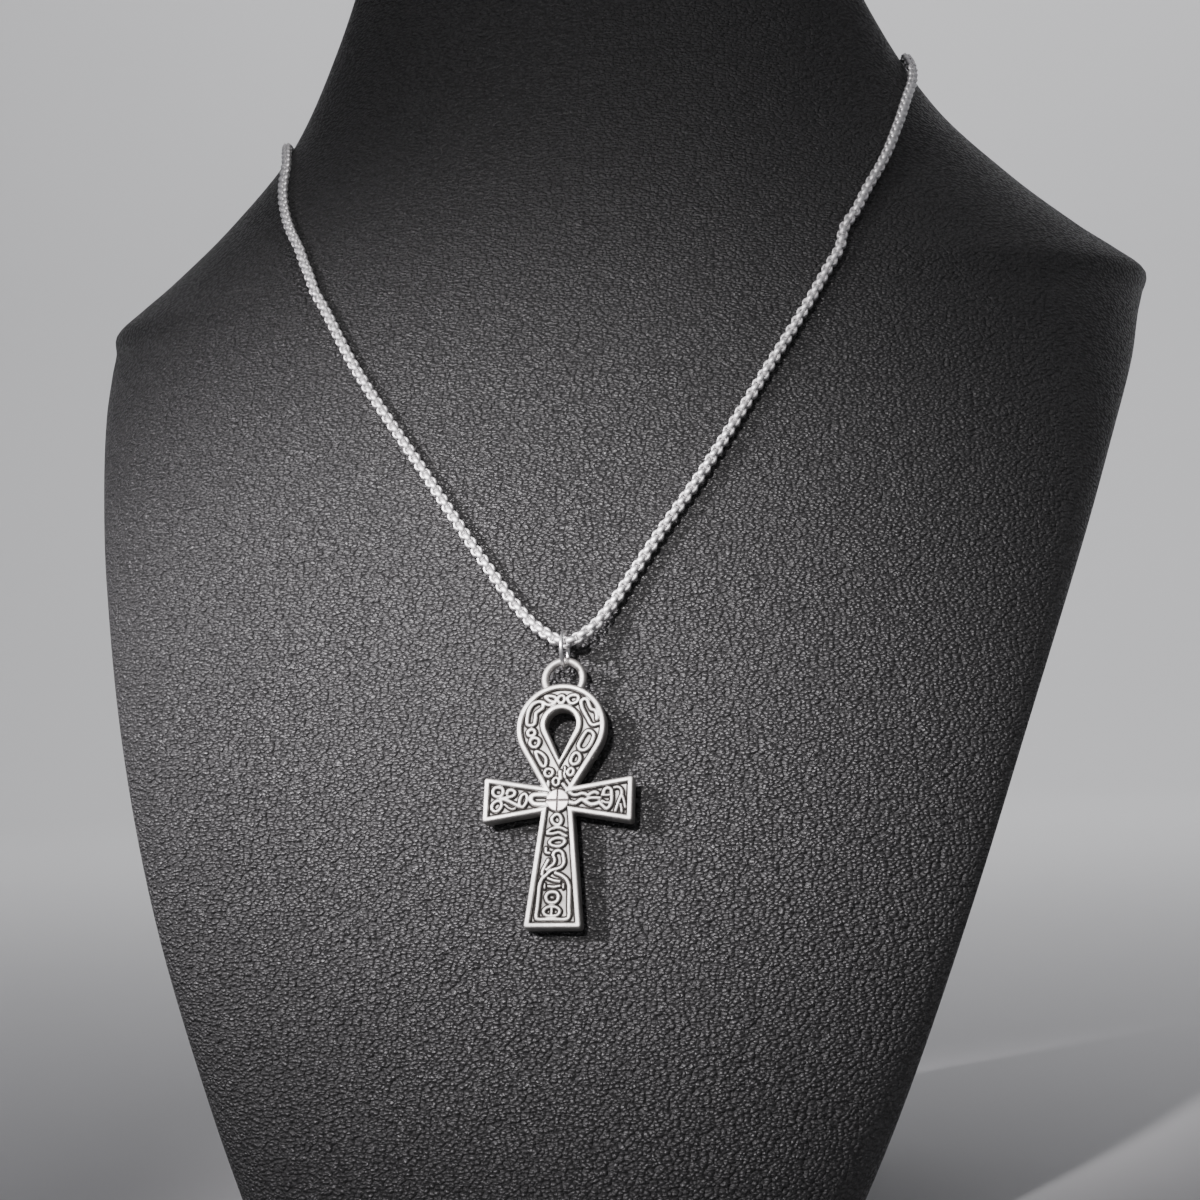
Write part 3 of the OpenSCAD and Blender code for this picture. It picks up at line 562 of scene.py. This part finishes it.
def bust_surface(bust, rings=250, turns=288, edge=9):
    """Points of the bust: rings of the section from a quarter round at the foot to one at the top.

    The flat foot and top are the end rings drawn in towards their middle, each by a share of its size."""
    quarter = np.linspace(0, np.pi / 2, edge)
    low_z, low_in = bust.rounding * (1 - np.cos(quarter)), bust.rounding * (1 - np.sin(quarter))
    body = np.linspace(bust.rounding, bust.height - bust.rounding, rings)
    z = np.concatenate([low_z[:-1], body, (bust.height - low_z)[::-1][1:]])
    inset = np.concatenate([low_in[:-1], np.zeros(rings), low_in[::-1][1:]])
    turn = np.arange(turns) * 360.0 / turns
    skin = bust_point(bust, z[:, None] + 0 * turn, turn + 0 * z[:, None], inset[:, None] + 0 * turn)
    shares = np.linspace(1, 0, 12)[1:-1]
    caps = []
    for ring in (skin[0], skin[-1]):
        middle = ring.mean(axis=0)
        caps.append(middle + shares[:, None, None] * (ring - middle))
    grid = np.concatenate([caps[0][::-1], skin, caps[1]])
    ends = np.array([skin[0].mean(axis=0), skin[-1].mean(axis=0)])
    return grid, ends


def capped(grid, ends):
    """A tube-like grid closed by a fan to a point at each end: its points, quads and triangles."""
    rows, cols = grid.shape[:2]
    points = np.concatenate([grid.reshape(-1, 3), ends])
    first, last = rows * cols, rows * cols + 1
    j = np.arange(cols)
    nj = (j + 1) % cols
    tris = np.concatenate([
        np.stack([np.full(cols, first), nj, j], axis=1),
        np.stack([np.full(cols, last), (rows - 1) * cols + j, (rows - 1) * cols + nj], axis=1),
    ])
    return points, grid_faces(rows, cols), tris


def turn_at(bust, x, z):
    """The turn at which the section at height z has the place x across, on its front half."""
    half = bust_sizes(bust, z)[0]
    return np.sign(x) * np.degrees(np.arcsin(np.minimum(np.abs(x) / half, 1) ** (bust.front_full / 2)))


def chain_line(bust, chain, clasp_box):
    """Points along the chain's middle and the directions out of the leather there.

    The knots are joined by a cubic in turn and height, and each place is the leather's point plus half the
    chain's width, the gap and, near the jump ring, the lift times exp(-(distance / reach)^2). The chain stops
    a gap short of the clasp at the back of the neck."""
    z = bust.height * ROUTE[:, 1]
    front = np.stack([turn_at(bust, bust.width / 2 * ROUTE[:, 0], z), z], axis=1)
    sides = [np.stack([r[:, 0], bust.height * r[:, 1]], axis=1) for r in (ROUTE_LEFT, ROUTE_RIGHT)]
    way = line_through(np.concatenate([sides[0], front, sides[1]]), shut=False, steps=24)
    skin = bust_point(bust, way[:, 1], way[:, 0])
    low = ROUTE[np.argmin(ROUTE[:, 1])]
    clasp_gap, neck_back = 0.00015, 0.04
    away = (skin[:, 0] - bust.width / 2 * low[0]) ** 2 + (skin[:, 2] - bust.height * low[1]) ** 2
    lift = chain.lift * np.exp(-away / chain.lift_reach**2)
    out = outward(bust, way[:, 1], way[:, 0])
    points = skin + (chain.width / 2 + chain.gap + lift)[:, None] * out
    reach = (clasp_box[1][0] - clasp_box[0][0]) / 2 + clasp_gap
    beside = ~((points[:, 1] > neck_back) & (np.abs(points[:, 0]) < reach))
    return points[beside], out[beside]


def links_along(points, out, chain):
    """Places of the links a pitch apart along a line, and the ways along, out and aside at each."""
    steps = np.linalg.norm(np.diff(points, axis=0), axis=1)
    s = np.concatenate([[0], np.cumsum(steps)])
    margin = chain.width / 2
    count = int(round((s[-1] - 2 * margin) / chain.pitch)) + 1
    at = np.linspace(margin, s[-1] - margin, count)

    def spot(values, where):
        return np.stack([np.interp(where, s, values[:, c]) for c in range(3)], axis=1)

    along = unit(spot(points, at + chain.pitch) - spot(points, at - chain.pitch))
    up = spot(out, at)
    up = unit(up - (up * along).sum(axis=1, keepdims=True) * along)
    return spot(points, at), along, up, np.cross(up, along)


def link_shape(chain):
    """One link: a rounded band carried round a rounded square, as (along, aside, through) points on a grid.

    The square's corners are arcs of three points, and the band has six points: a flat at each side, and a
    low ridge outside and inside."""
    corner_share, flat_share = 0.72, 0.8
    half = (chain.width - chain.band) / 2
    round_r = half * corner_share
    angle = np.radians(np.array([0, 45, 90]))[None, :] + np.radians(90) * np.arange(4)[:, None]
    centre = (half - round_r) * np.array([[1, 1], [-1, 1], [-1, -1], [1, -1]], float)
    way = np.stack([np.cos(angle), np.sin(angle)], axis=-1)
    square = (centre[:, None, :] + round_r * way).reshape(-1, 2)
    way = way.reshape(-1, 2)
    t, w = chain.band / 2, chain.band_width / 2
    f = flat_share * t
    band = np.array([[-f, -w], [-t, 0], [-f, w], [f, w], [t, 0], [f, -w]])
    flat = square[:, None, :] + band[None, :, :1] * way[:, None, :]
    through = np.broadcast_to(band[None, :, 1:], (len(square), len(band), 1))
    return np.concatenate([flat, through], axis=-1)


def chain_surface(points, out, chain):
    """All the links, every second one turned a quarter turn round the chain's middle line."""
    at, along, up, aside = links_along(points, out, chain)
    shape = link_shape(chain)
    odd = (np.arange(len(at)) % 2 == 1)[:, None]
    second, third = np.where(odd, up, aside), np.where(odd, -aside, up)
    rows, cols = shape.shape[:2]
    local = shape.reshape(-1, 3)
    placed = sum(local[None, :, [c]] * way[:, None, :] for c, way in enumerate((along, second, third)))
    placed = placed + at[:, None, :]
    quads = grid_faces(rows, cols, wrap_rows=True)
    quads = (quads[None] + (np.arange(len(at)) * rows * cols)[:, None, None]).reshape(-1, 4)
    return placed.reshape(-1, 3), quads


def ring_surface(centre, radius, wire, across, start=0.0, end=360.0, steps=120, sides=24):
    """A round wire along an arc: centre + (radius + wire/2 cos b) (cos a, sin a) in the ring's plane,
    plus wire/2 sin b along across. The plane holds the two ways that follow across in X, Y, Z order."""
    shut = abs(end - start - 360.0) < 1e-6
    a = np.radians(np.linspace(start, end, steps, endpoint=not shut))[:, None]
    b = np.radians(np.arange(sides) * 360.0 / sides)[None, :]
    r = radius + wire / 2 * np.cos(b)
    grid = np.zeros((steps, sides, 3))
    grid[..., across] = wire / 2 * np.sin(b)
    grid[..., (across + 1) % 3] = r * np.cos(a)
    grid[..., (across + 2) % 3] = r * np.sin(a)
    return grid + np.asarray(centre)


# The ankh. Its own frame has X across, Y up its plane and Z out of its face, in millimetres, with the
# origin where the eye's wire hangs on the jump ring.

class AnkhPlan:
    """The ankh's sizes in millimetres and the distances and places that its relief is worked out from."""

    # Shares of a rim's width: its fall to the floor, and the rounding of its free edge and of the hole's.
    rim_fall, edge_round, hole_round = 0.4, 0.42, 0.38
    # Fall of the disc's edge, half width and depth of its cross, and rounding of the back's edges.
    disc_fall, cut_half, cut_depth, back_round = 0.3, 0.1, 0.22, 0.35
    # Reach of the dark finish beside an edge, and how much of it lies on the open floor and in the cross.
    dark_reach, dark_floor, dark_cut = 0.22, 0.44, 0.75
    # The finish's darkness at the floor's level, its fall over the full rise, and the bare edges' width.
    dark_low, dark_fall, bare_edge = 1.15, 1.35, 0.45

    def __init__(self, s):
        for key in s.__annotations__:
            if key not in ("lean", "hang_turn", "silver", "oxide"):
                setattr(self, key, getattr(s, key) / MM)
        self.mid = -(self.eye_rise + self.loop_radius + self.loop_rise)
        self.loop_y = self.mid + self.loop_rise
        self.hole_y = self.loop_y + self.hole_rise
        self.foot = self.mid - self.shaft_length
        self.disc_y = self.mid - self.disc_drop
        self.arm_slope = (self.arm_end - self.arm_middle) / self.arm_span
        self.shaft_slope = (self.shaft_end - self.shaft_middle) / 2 / self.shaft_length
        self.hole_rim_r = self.hole_radius + self.hole_rim
        self.hole_rim_tip = self.hole_tip + 1.5 * self.hole_rim
        self.top = self.thickness / 2
        self.floor = self.top - self.recess

    @staticmethod
    def teardrop(x, y, r, tip):
        """Distance to a round top of radius r with straight sides that meet a distance tip below its centre.

        Beside the sides it is |x| cos l - y sin l - r with sin l = r / tip, and above them it is |p| - r."""
        lean = np.arcsin(r / tip)
        px = np.abs(x)
        side = px * np.cos(lean) - y * np.sin(lean) - r
        down = -px * np.sin(lean) - y * np.cos(lean)
        far = np.hypot(px, y + tip)
        beyond = (down > np.sqrt(tip**2 - r**2)) & (side > 0)
        return np.where(down < 0, np.hypot(px, y) - r, np.where(beyond, far, side))

    @staticmethod
    def both(a, b, r):
        """Distance to what lies inside two edges, with the corner between them rounded by r."""
        return (np.minimum(np.maximum(a + r, b + r), 0)
                + np.hypot(np.maximum(a + r, 0), np.maximum(b + r, 0)) - r)

    def outline(self, x, y):
        """Distance to the outline, below zero inside: the nearest of the loop, the arms and the shaft."""
        px, py = np.abs(x), np.abs(y - self.mid)
        loop = self.teardrop(x, y - self.loop_y, self.loop_radius, self.loop_tip)
        edge = (py - self.arm_middle / 2 - self.arm_slope * px) * np.cos(np.arctan(self.arm_slope))
        arms = self.both(px - self.arm_span / 2, edge, self.corner)
        side = px - self.shaft_middle / 2 - self.shaft_slope * (self.mid - y)
        side = side * np.cos(np.arctan(self.shaft_slope))
        shaft = np.maximum(self.both(self.foot - y, side, self.corner), y - self.mid - self.rim)
        return np.minimum(np.minimum(loop, arms), shaft)

    def hole(self, x, y):
        """Distance to the hole, below zero inside it."""
        return self.teardrop(x, y - self.hole_y, self.hole_radius, self.hole_tip)

    def metal(self, x, y):
        """Distance to the edge of the metal, below zero in the metal."""
        return np.maximum(self.outline(x, y), -self.hole(x, y))

    def ribbons(self, x, y):
        """Height of the ribbons, as a share of their full rise, and the distance to the nearest edge of one.

        The share is (1 - t^3)^(1/3), where t is the distance from a ribbon's middle over half its width."""
        far, reach, steps = 9.0, 0.8, 6
        rise, gap = np.zeros(x.shape), np.full(x.shape, far)
        for width, shut, places in KNOTS:
            line = line_through(places, shut, steps)
            low, high = line.min(axis=0) - reach, line.max(axis=0) + reach
            box = (x > low[0]) & (x < high[0]) & (y > low[1]) & (y < high[1])
            px, py = x[box][:, None], y[box][:, None]
            a, d = line[:-1], np.diff(line, axis=0)
            long2 = np.maximum((d**2).sum(axis=1), 1e-9)
            t = np.clip(((px - a[:, 0]) * d[:, 0] + (py - a[:, 1]) * d[:, 1]) / long2, 0, 1)
            away = np.hypot(px - a[:, 0] - t * d[:, 0], py - a[:, 1] - t * d[:, 1]).min(axis=1)
            share = np.clip(away / (width / 2), 0, 1)
            rise[box] = np.maximum(rise[box], np.cbrt(1 - share**3))
            gap[box] = np.minimum(gap[box], away - width / 2)
        return rise, gap

    def face(self, x, y):
        """Height of the face and the darkness of its finish.

        The height is the highest of the sunk floor, the rims, the disc and the ribbons. A rim falls to the
        floor as (1 - t^3)^(1/3) over half its width, its free edge is a quarter round, and the disc has two
        crossed grooves. The finish is dark low down, most of all beside the edge of a rim or a ribbon."""
        u = -self.outline(x, y)
        deep = self.top - self.floor

        def shoulder(v, width):
            t = np.clip(1 - v / width, 0, 1)
            return deep * np.cbrt(1 - t**3)

        rim = np.where(u < self.rim, shoulder(self.rim - u, self.rim_fall * self.rim), 0)
        round_hole = -self.teardrop(x, y - self.hole_y, self.hole_rim_r, self.hole_rim_tip)
        hole_rim = np.where(round_hole > 0, shoulder(round_hole, self.rim_fall * self.hole_rim), 0)
        rise, gap = self.ribbons(x, y)
        panel = np.maximum(np.maximum(rim, hole_rim), (deep - self.ribbon_drop) * rise)
        from_middle = np.hypot(x, y - self.disc_y)
        across, along = x / self.cut_half, (y - self.disc_y) / self.cut_half
        cut = np.maximum(np.exp(-across**2), np.exp(-along**2))
        disc = shoulder(self.disc - from_middle, self.disc_fall) - self.cut_depth * cut
        up = np.where(from_middle < self.disc, disc, panel)
        near = np.minimum(gap, np.abs(from_middle - self.disc))
        near = np.minimum(near, np.minimum(u - self.rim, -round_hole))
        beside = self.dark_floor + (1 - self.dark_floor) * np.exp(-((near / self.dark_reach) ** 4))
        shade = np.clip(self.dark_low - self.dark_fall * up / deep, 0, 1) * beside
        on_disc = from_middle < self.disc - self.disc_fall / 2
        shade = np.maximum(shade, np.where(on_disc, self.dark_cut * cut, 0))
        z = self.floor + up
        for edge, r in ((u, self.edge_round * self.rim), (self.hole(x, y), self.hole_round * self.hole_rim)):
            t = np.clip(edge / r, 0, 1)
            z = np.minimum(z, self.top - r + r * np.sqrt(1 - (1 - t) ** 2))
        return z, shade * (np.minimum(u, self.hole(x, y)) > self.bare_edge)

    def back(self, x, y):
        """Height of the plain back, whose edges are quarter rounds."""
        r = self.back_round
        t = np.clip(-self.metal(x, y) / r, 0, 1)
        return -(self.top - r + r * np.sqrt(1 - (1 - t) ** 2))


def onto_edge(plan, x, y):
    """Places moved onto the metal's edge, each by its distance over the slope of the distance.

    The square of the slope counts as no less than a quarter."""
    e, least = 1e-4, 0.25
    for _ in range(3):
        d = plan.metal(x, y)
        gx = (plan.metal(x + e, y) - plan.metal(x - e, y)) / (2 * e)
        gy = (plan.metal(x, y + e) - plan.metal(x, y - e)) / (2 * e)
        long2 = np.maximum(gx**2 + gy**2, least)
        x, y = x - d * gx / long2, y - d * gy / long2
    return x, y


def casting_surface(plan):
    """The ankh's face over a square grid whose points near the outline are moved onto it, its plain back over
    the same points, and a wall between the two along every open edge.

    The grid is shifted a little, so that no row of points lies along the ankh's middle line."""
    g = plan.grid
    nx = int(np.ceil(plan.arm_span / 2 / g)) + 2
    ny = int(np.ceil(-plan.foot / g)) + 2
    x, y = np.meshgrid(np.arange(-nx, nx + 1) * g, np.arange(-ny, 1) * g)
    shift_x, shift_y = 0.37, 0.41
    x, y = x + shift_x * g, y + shift_y * g
    d = plan.metal(x, y)
    keep, near = d < g / 2, np.abs(d) < g / 2
    x[near], y[near] = onto_edge(plan, x[near], y[near])
    index = np.full(x.shape, -1)
    index[keep] = np.arange(keep.sum())
    corner = np.stack([index[:-1, :-1], index[:-1, 1:], index[1:, 1:], index[1:, :-1]], axis=-1)
    corner = corner.reshape(-1, 4)
    whole = (corner >= 0).sum(axis=1)
    quads = corner[whole == 4]
    three = corner[whole == 3]
    tris = three[three >= 0].reshape(-1, 3)
    px, py = x[keep], y[keep]
    used = np.unique(np.concatenate([quads.ravel(), tris.ravel()]))
    fresh = np.full(len(px), -1)
    fresh[used] = np.arange(len(used))
    quads, tris, px, py = fresh[quads], fresh[tris], px[used], py[used]
    z, oxide = plan.face(px, py)
    n = len(px)
    edges = np.concatenate([quads[:, [i, (i + 1) % 4]] for i in range(4)]
                           + [tris[:, [i, (i + 1) % 3]] for i in range(3)])
    keys, back_keys = edges[:, 0] * n + edges[:, 1], edges[:, 1] * n + edges[:, 0]
    rim = edges[~np.isin(keys, back_keys)]
    wall = np.stack([rim[:, 1], rim[:, 0], rim[:, 0] + n, rim[:, 1] + n], axis=1)
    points = np.concatenate([np.stack([px, py, z], axis=1), np.stack([px, py, plan.back(px, py)], axis=1)])
    oxide = np.concatenate([oxide, np.zeros(n)])
    rosy_edge, rosy_most = 0.2, 0.6
    rosy = np.clip((plan.disc - np.hypot(px, py - plan.disc_y)) / rosy_edge, 0, 1) * rosy_most
    rosy = np.concatenate([rosy, np.zeros(n)])
    quads = np.concatenate([quads, quads[:, ::-1] + n, wall])
    return points, quads, np.concatenate([tris, tris[:, ::-1] + n]), oxide, rosy


def ankh_frame(settings):
    """Carries the ankh's own frame to where it hangs."""
    return (Matrix.Translation(Vector(joint["pos_m"]))
            @ Matrix.Rotation(np.radians(90 - settings.lean), 4, "X")
            @ Matrix.Rotation(np.radians(-settings.hang_turn), 4, "Z"))


def lathe(profile, centre, steps=64):
    """A profile of (place along X, radius) turned round the X axis, closed to a point at each end."""
    profile = np.asarray(profile, float)
    a = np.arange(steps) * 2 * np.pi / steps
    grid = np.stack([
        profile[:, :1] + 0 * a,
        profile[:, 1:] * np.cos(a),
        profile[:, 1:] * np.sin(a),
    ], axis=-1) + np.asarray(centre)
    ends = np.array([[profile[0, 0], 0, 0], [profile[-1, 0], 0, 0]]) + np.asarray(centre)
    return capped(grid, ends)


# Operators.

class PENDANT_OT_bust(bpy.types.Operator):
    """Builds the leatherette bust as one smooth surface"""

    bl_idname = "pendant.bust"
    bl_label = "Neck bust"

    def execute(self, context):
        bust = context.scene.pendant_bust
        build_piece("bust_leather", "bust", "leatherette", leatherette(bust), *capped(*bust_surface(bust)))
        return {"FINISHED"}


class PENDANT_OT_chain(bpy.types.Operator):
    """Builds the interlocking links of the rounded box chain"""

    bl_idname = "pendant.chain"
    bl_label = "Box chain"

    def execute(self, context):
        chain = context.scene.pendant_chain
        line = chain_line(context.scene.pendant_bust, chain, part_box("clasp"))
        silver = polished_silver("chain_silver", chain, 0.46, 0.58)
        build_piece("chain_links", "chain", "chain_silver", silver, *chain_surface(*line, chain))
        return {"FINISHED"}


class PENDANT_OT_jump_ring(bpy.types.Operator):
    """Builds the round wire of the jump ring, with its fine cut at the back"""

    bl_idname = "pendant.jump_ring"
    bl_label = "Jump ring"

    def execute(self, context):
        ring = context.scene.pendant_ring
        low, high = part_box("jump_ring")
        radius = (high[2] - low[2]) / 2 - ring.wire / 2
        cut_at = 20.0
        start = cut_at + ring.cut / 2
        grid = ring_surface((low + high) / 2, radius, ring.wire, 0, start, start + 360.0 - ring.cut)
        ends = np.array([grid[0].mean(axis=0), grid[-1].mean(axis=0)])
        silver = polished_silver("ring_silver", context.scene.pendant_chain, 0.26, 0.36)
        build_piece("jump_ring_wire", "jump_ring", "ring_silver", silver, *capped(grid, ends))
        return {"FINISHED"}


class PENDANT_OT_ankh(bpy.types.Operator):
    """Builds the cast ankh with its rims, sunk panels, knotwork, disc and hanging eye"""

    bl_idname = "pendant.ankh"
    bl_label = "Ankh"

    def execute(self, context):
        settings = context.scene.pendant_ankh
        plan = AnkhPlan(settings)
        points, quads, tris, oxide, rosy = casting_surface(plan)
        eye = ring_surface((0, -plan.eye_radius, 0), plan.eye_radius, plan.eye_wire, 2, steps=112, sides=28)
        eye_quads = grid_faces(*eye.shape[:2], wrap_rows=True)
        eye = eye.reshape(-1, 3)
        if enclosed(points, quads, tris) * enclosed(eye, eye_quads, tris[:0]) < 0:
            eye_quads = eye_quads[:, ::-1]
        eye_quads = eye_quads + len(points)
        points = np.concatenate([points, eye]) * MM
        none = np.zeros(len(eye))
        place = np.array(ankh_frame(settings))
        points = points @ place[:3, :3].T + place[:3, 3]
        values = {"oxide": np.concatenate([oxide, none]), "rosy": np.concatenate([rosy, none])}
        build_piece("ankh_casting", "ankh", "cast_silver", antiqued_silver(settings), points,
                    np.concatenate([quads, eye_quads]), tris, body="pendant", values=values)
        return {"FINISHED"}


class PENDANT_OT_clasp(bpy.types.Operator):
    """Builds the barrel clasp with its end caps and two turned grooves"""

    bl_idname = "pendant.clasp"
    bl_label = "Barrel clasp"

    def execute(self, context):
        low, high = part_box("clasp")
        half, r = (high[0] - low[0]) / 2, (high[2] - low[2]) / 2
        # The right half's outline: shares of the half length and of the radius, from the middle out.
        side = [(0.0, 1.0), (0.02, 0.9), (0.04, 0.9), (0.06, 1.0), (0.50, 1.0), (0.53, 0.93), (0.57, 0.93),
                (0.60, 1.0), (0.86, 1.0), (0.94, 0.94), (0.985, 0.80), (1.0, 0.62), (1.0, 0.3)]
        right = np.array([(x * half, q * r) for x, q in side])
        left = right[::-1][:-1] * [-1, 1]
        silver = polished_silver("clasp_silver", context.scene.pendant_chain, 0.16, 0.28)
        build_piece("clasp_barrel", "clasp", "clasp_silver", silver,
                    *lathe(np.concatenate([left, right]), (low + high) / 2))
        return {"FINISHED"}


def stage_surface(settings, turns=96):
    """The studio's sweep: a flat round floor that bends up by a quarter round into an upright wall."""
    bend, wall_top, middle, rings = 0.6, 2.6, 0.02, 12
    quarter = np.linspace(0, np.pi / 2, 14)[1:]
    r = np.concatenate([np.linspace(middle, settings.radius, rings), settings.radius + bend * np.sin(quarter),
                        [settings.radius + bend]])
    z = np.concatenate([np.zeros(rings), bend * (1 - np.cos(quarter)), [wall_top]])
    a = np.arange(turns) * 2 * np.pi / turns
    grid = np.stack([r[:, None] * np.cos(a), r[:, None] * np.sin(a), z[:, None] + 0 * a], axis=-1)
    points = np.concatenate([grid.reshape(-1, 3), [[0, 0, 0]]])
    j = np.arange(turns)
    tris = np.stack([np.full(turns, len(points) - 1), j, (j + 1) % turns], axis=1)
    quads = grid_faces(len(r), turns)[:, ::-1]
    return points, quads, tris


def add_light(name, kind, place, way, power):
    """A light at a place that faces along a way."""
    data = bpy.data.lights.new(name, kind)
    data.energy = power
    light = add_object(name, data)
    light.location = place
    light.rotation_euler = way.to_track_quat("-Z", "Y").to_euler()
    return data


def soft_spot(name, turn, rise, target, spread, power, tint):
    """A soft round pool of light on a target, a metre off at a turn to the left and a rise in degrees."""
    turn, rise = np.radians([turn, rise])
    way = Vector((-np.sin(turn) * np.cos(rise), -np.cos(turn) * np.cos(rise), np.sin(rise)))
    data = add_light(name, "SPOT", Vector(target) + way, -way, power)
    lamp_radius = 0.045
    data.color, data.shadow_soft_size = tint, lamp_radius
    data.spot_size, data.spot_blend = np.radians(spread), 1.0


def broad_light(name, place, target, size, power):
    """A broad square light that faces its target."""
    data = add_light(name, "AREA", place, Vector(target) - Vector(place), power)
    data.size = size


def photo_camera():
    """The camera of the photograph: its place, its turn, its slight rise and its slight roll.

    It stands back from the aim by the offset, in millimetres to its right, downwards and ahead."""
    azimuth, elevation, roll = np.radians([10.2, -3.0, 2.06])
    level = np.array([-np.sin(azimuth), np.cos(azimuth), 0.0])
    ahead = level * np.cos(elevation) - np.array([0.0, 0.0, np.sin(elevation)])
    right = np.array([np.cos(azimuth), np.sin(azimuth), 0.0])
    up = np.cross(right, ahead)
    rolled = right * np.cos(roll) - up * np.sin(roll), right * np.sin(roll) + up * np.cos(roll)
    aim, offset = np.array([2.58, -46.0, 100.0]), np.array([-5.83, 6.67, 340.0])
    place = aim - offset[0] * rolled[0] + offset[1] * rolled[1] - offset[2] * ahead
    data = bpy.data.cameras.new("photo_camera")
    data.lens, data.sensor_width = 61.2, 36.0
    data.clip_start, data.clip_end = 0.01, 20.0
    camera = add_object("photo_camera", data)
    turn = Matrix([rolled[0], rolled[1], -ahead]).transposed().to_4x4()
    camera.matrix_world = Matrix.Translation(Vector(place * MM)) @ turn
    bpy.context.scene.camera = camera


class PENDANT_OT_stage(bpy.types.Operator):
    """Builds the pale studio sweep, its lights and the camera"""

    bl_idname = "pendant.stage"
    bl_label = "Studio and camera"

    def execute(self, context):
        settings = context.scene.pendant_stage
        mesh = smooth_mesh("studio_sweep", plain_paper(settings), *stage_surface(settings))
        sweep = add_object("studio_sweep", mesh)
        soft_spot("key_light", 13.0, 31.0, (-0.004, -0.045, 0.102), 10.8, settings.key, (1.0, 0.965, 0.975))
        soft_spot("side_light", 60.0, 28.0, (-0.030, -0.045, 0.094), 9.8, settings.fill, (1.0, 0.955, 1.0))
        upper = (("left_chain_light", -48.0, -0.060), ("right_chain_light", 48.0, 0.052))
        for name, turn, across in upper:
            soft_spot(name, turn, 3.0, (across, -0.010, 0.200), 6.8, settings.upper, (1.0, 0.97, 0.98))
        broad_light("wall_light", (0.0, 0.70, 1.45), (0.0, 2.1, 0.75), 1.0, settings.wall)
        world = bpy.data.worlds.new("studio_air")
        world.use_nodes = True
        air = world.node_tree.nodes["Background"]
        air.inputs["Color"].default_value = (0.97, 0.96, 1.0, 1.0)
        air.inputs["Strength"].default_value = 0.36
        context.scene.world = world
        photo_camera()
        return {"FINISHED"}


class PENDANT_PT_panel(bpy.types.Panel):
    """Lists the pieces in the 3D view's sidebar"""

    bl_idname = "PENDANT_PT_panel"
    bl_label = "Ankh pendant"
    bl_space_type = "VIEW_3D"
    bl_region_type = "UI"
    bl_category = "Pendant"

    def draw(self, context):
        for operator in OPERATORS:
            self.layout.operator(operator.bl_idname)
        for key in GROUPS:
            box = self.layout.box()
            group = getattr(context.scene, key)
            for name in group.__annotations__:
                box.prop(group, name)


GROUPS = {
    "pendant_bust": PendantBust,
    "pendant_chain": PendantChain,
    "pendant_ring": PendantRing,
    "pendant_ankh": PendantAnkh,
    "pendant_stage": PendantStage,
}
OPERATORS = (PENDANT_OT_stage, PENDANT_OT_bust, PENDANT_OT_chain, PENDANT_OT_jump_ring, PENDANT_OT_ankh,
             PENDANT_OT_clasp)


def register():
    """Registers the settings, the operators and the panel."""
    for group in GROUPS.values():
        bpy.utils.register_class(group)
    for key, group in GROUPS.items():
        setattr(bpy.types.Scene, key, PointerProperty(type=group))
    for item in (*OPERATORS, PENDANT_PT_panel):
        bpy.utils.register_class(item)


def unregister():
    """Takes back what register added."""
    for item in (PENDANT_PT_panel, *reversed(OPERATORS)):
        bpy.utils.unregister_class(item)
    for key in GROUPS:
        delattr(bpy.types.Scene, key)
    for group in GROUPS.values():
        bpy.utils.unregister_class(group)


def main():
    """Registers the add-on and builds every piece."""
    register()
    bpy.ops.pendant.stage()
    bpy.ops.pendant.bust()
    bpy.ops.pendant.chain()
    bpy.ops.pendant.jump_ring()
    bpy.ops.pendant.ankh()
    bpy.ops.pendant.clasp()
    bpy.context.view_layer.update()


if __name__ == "__main__":
    main()
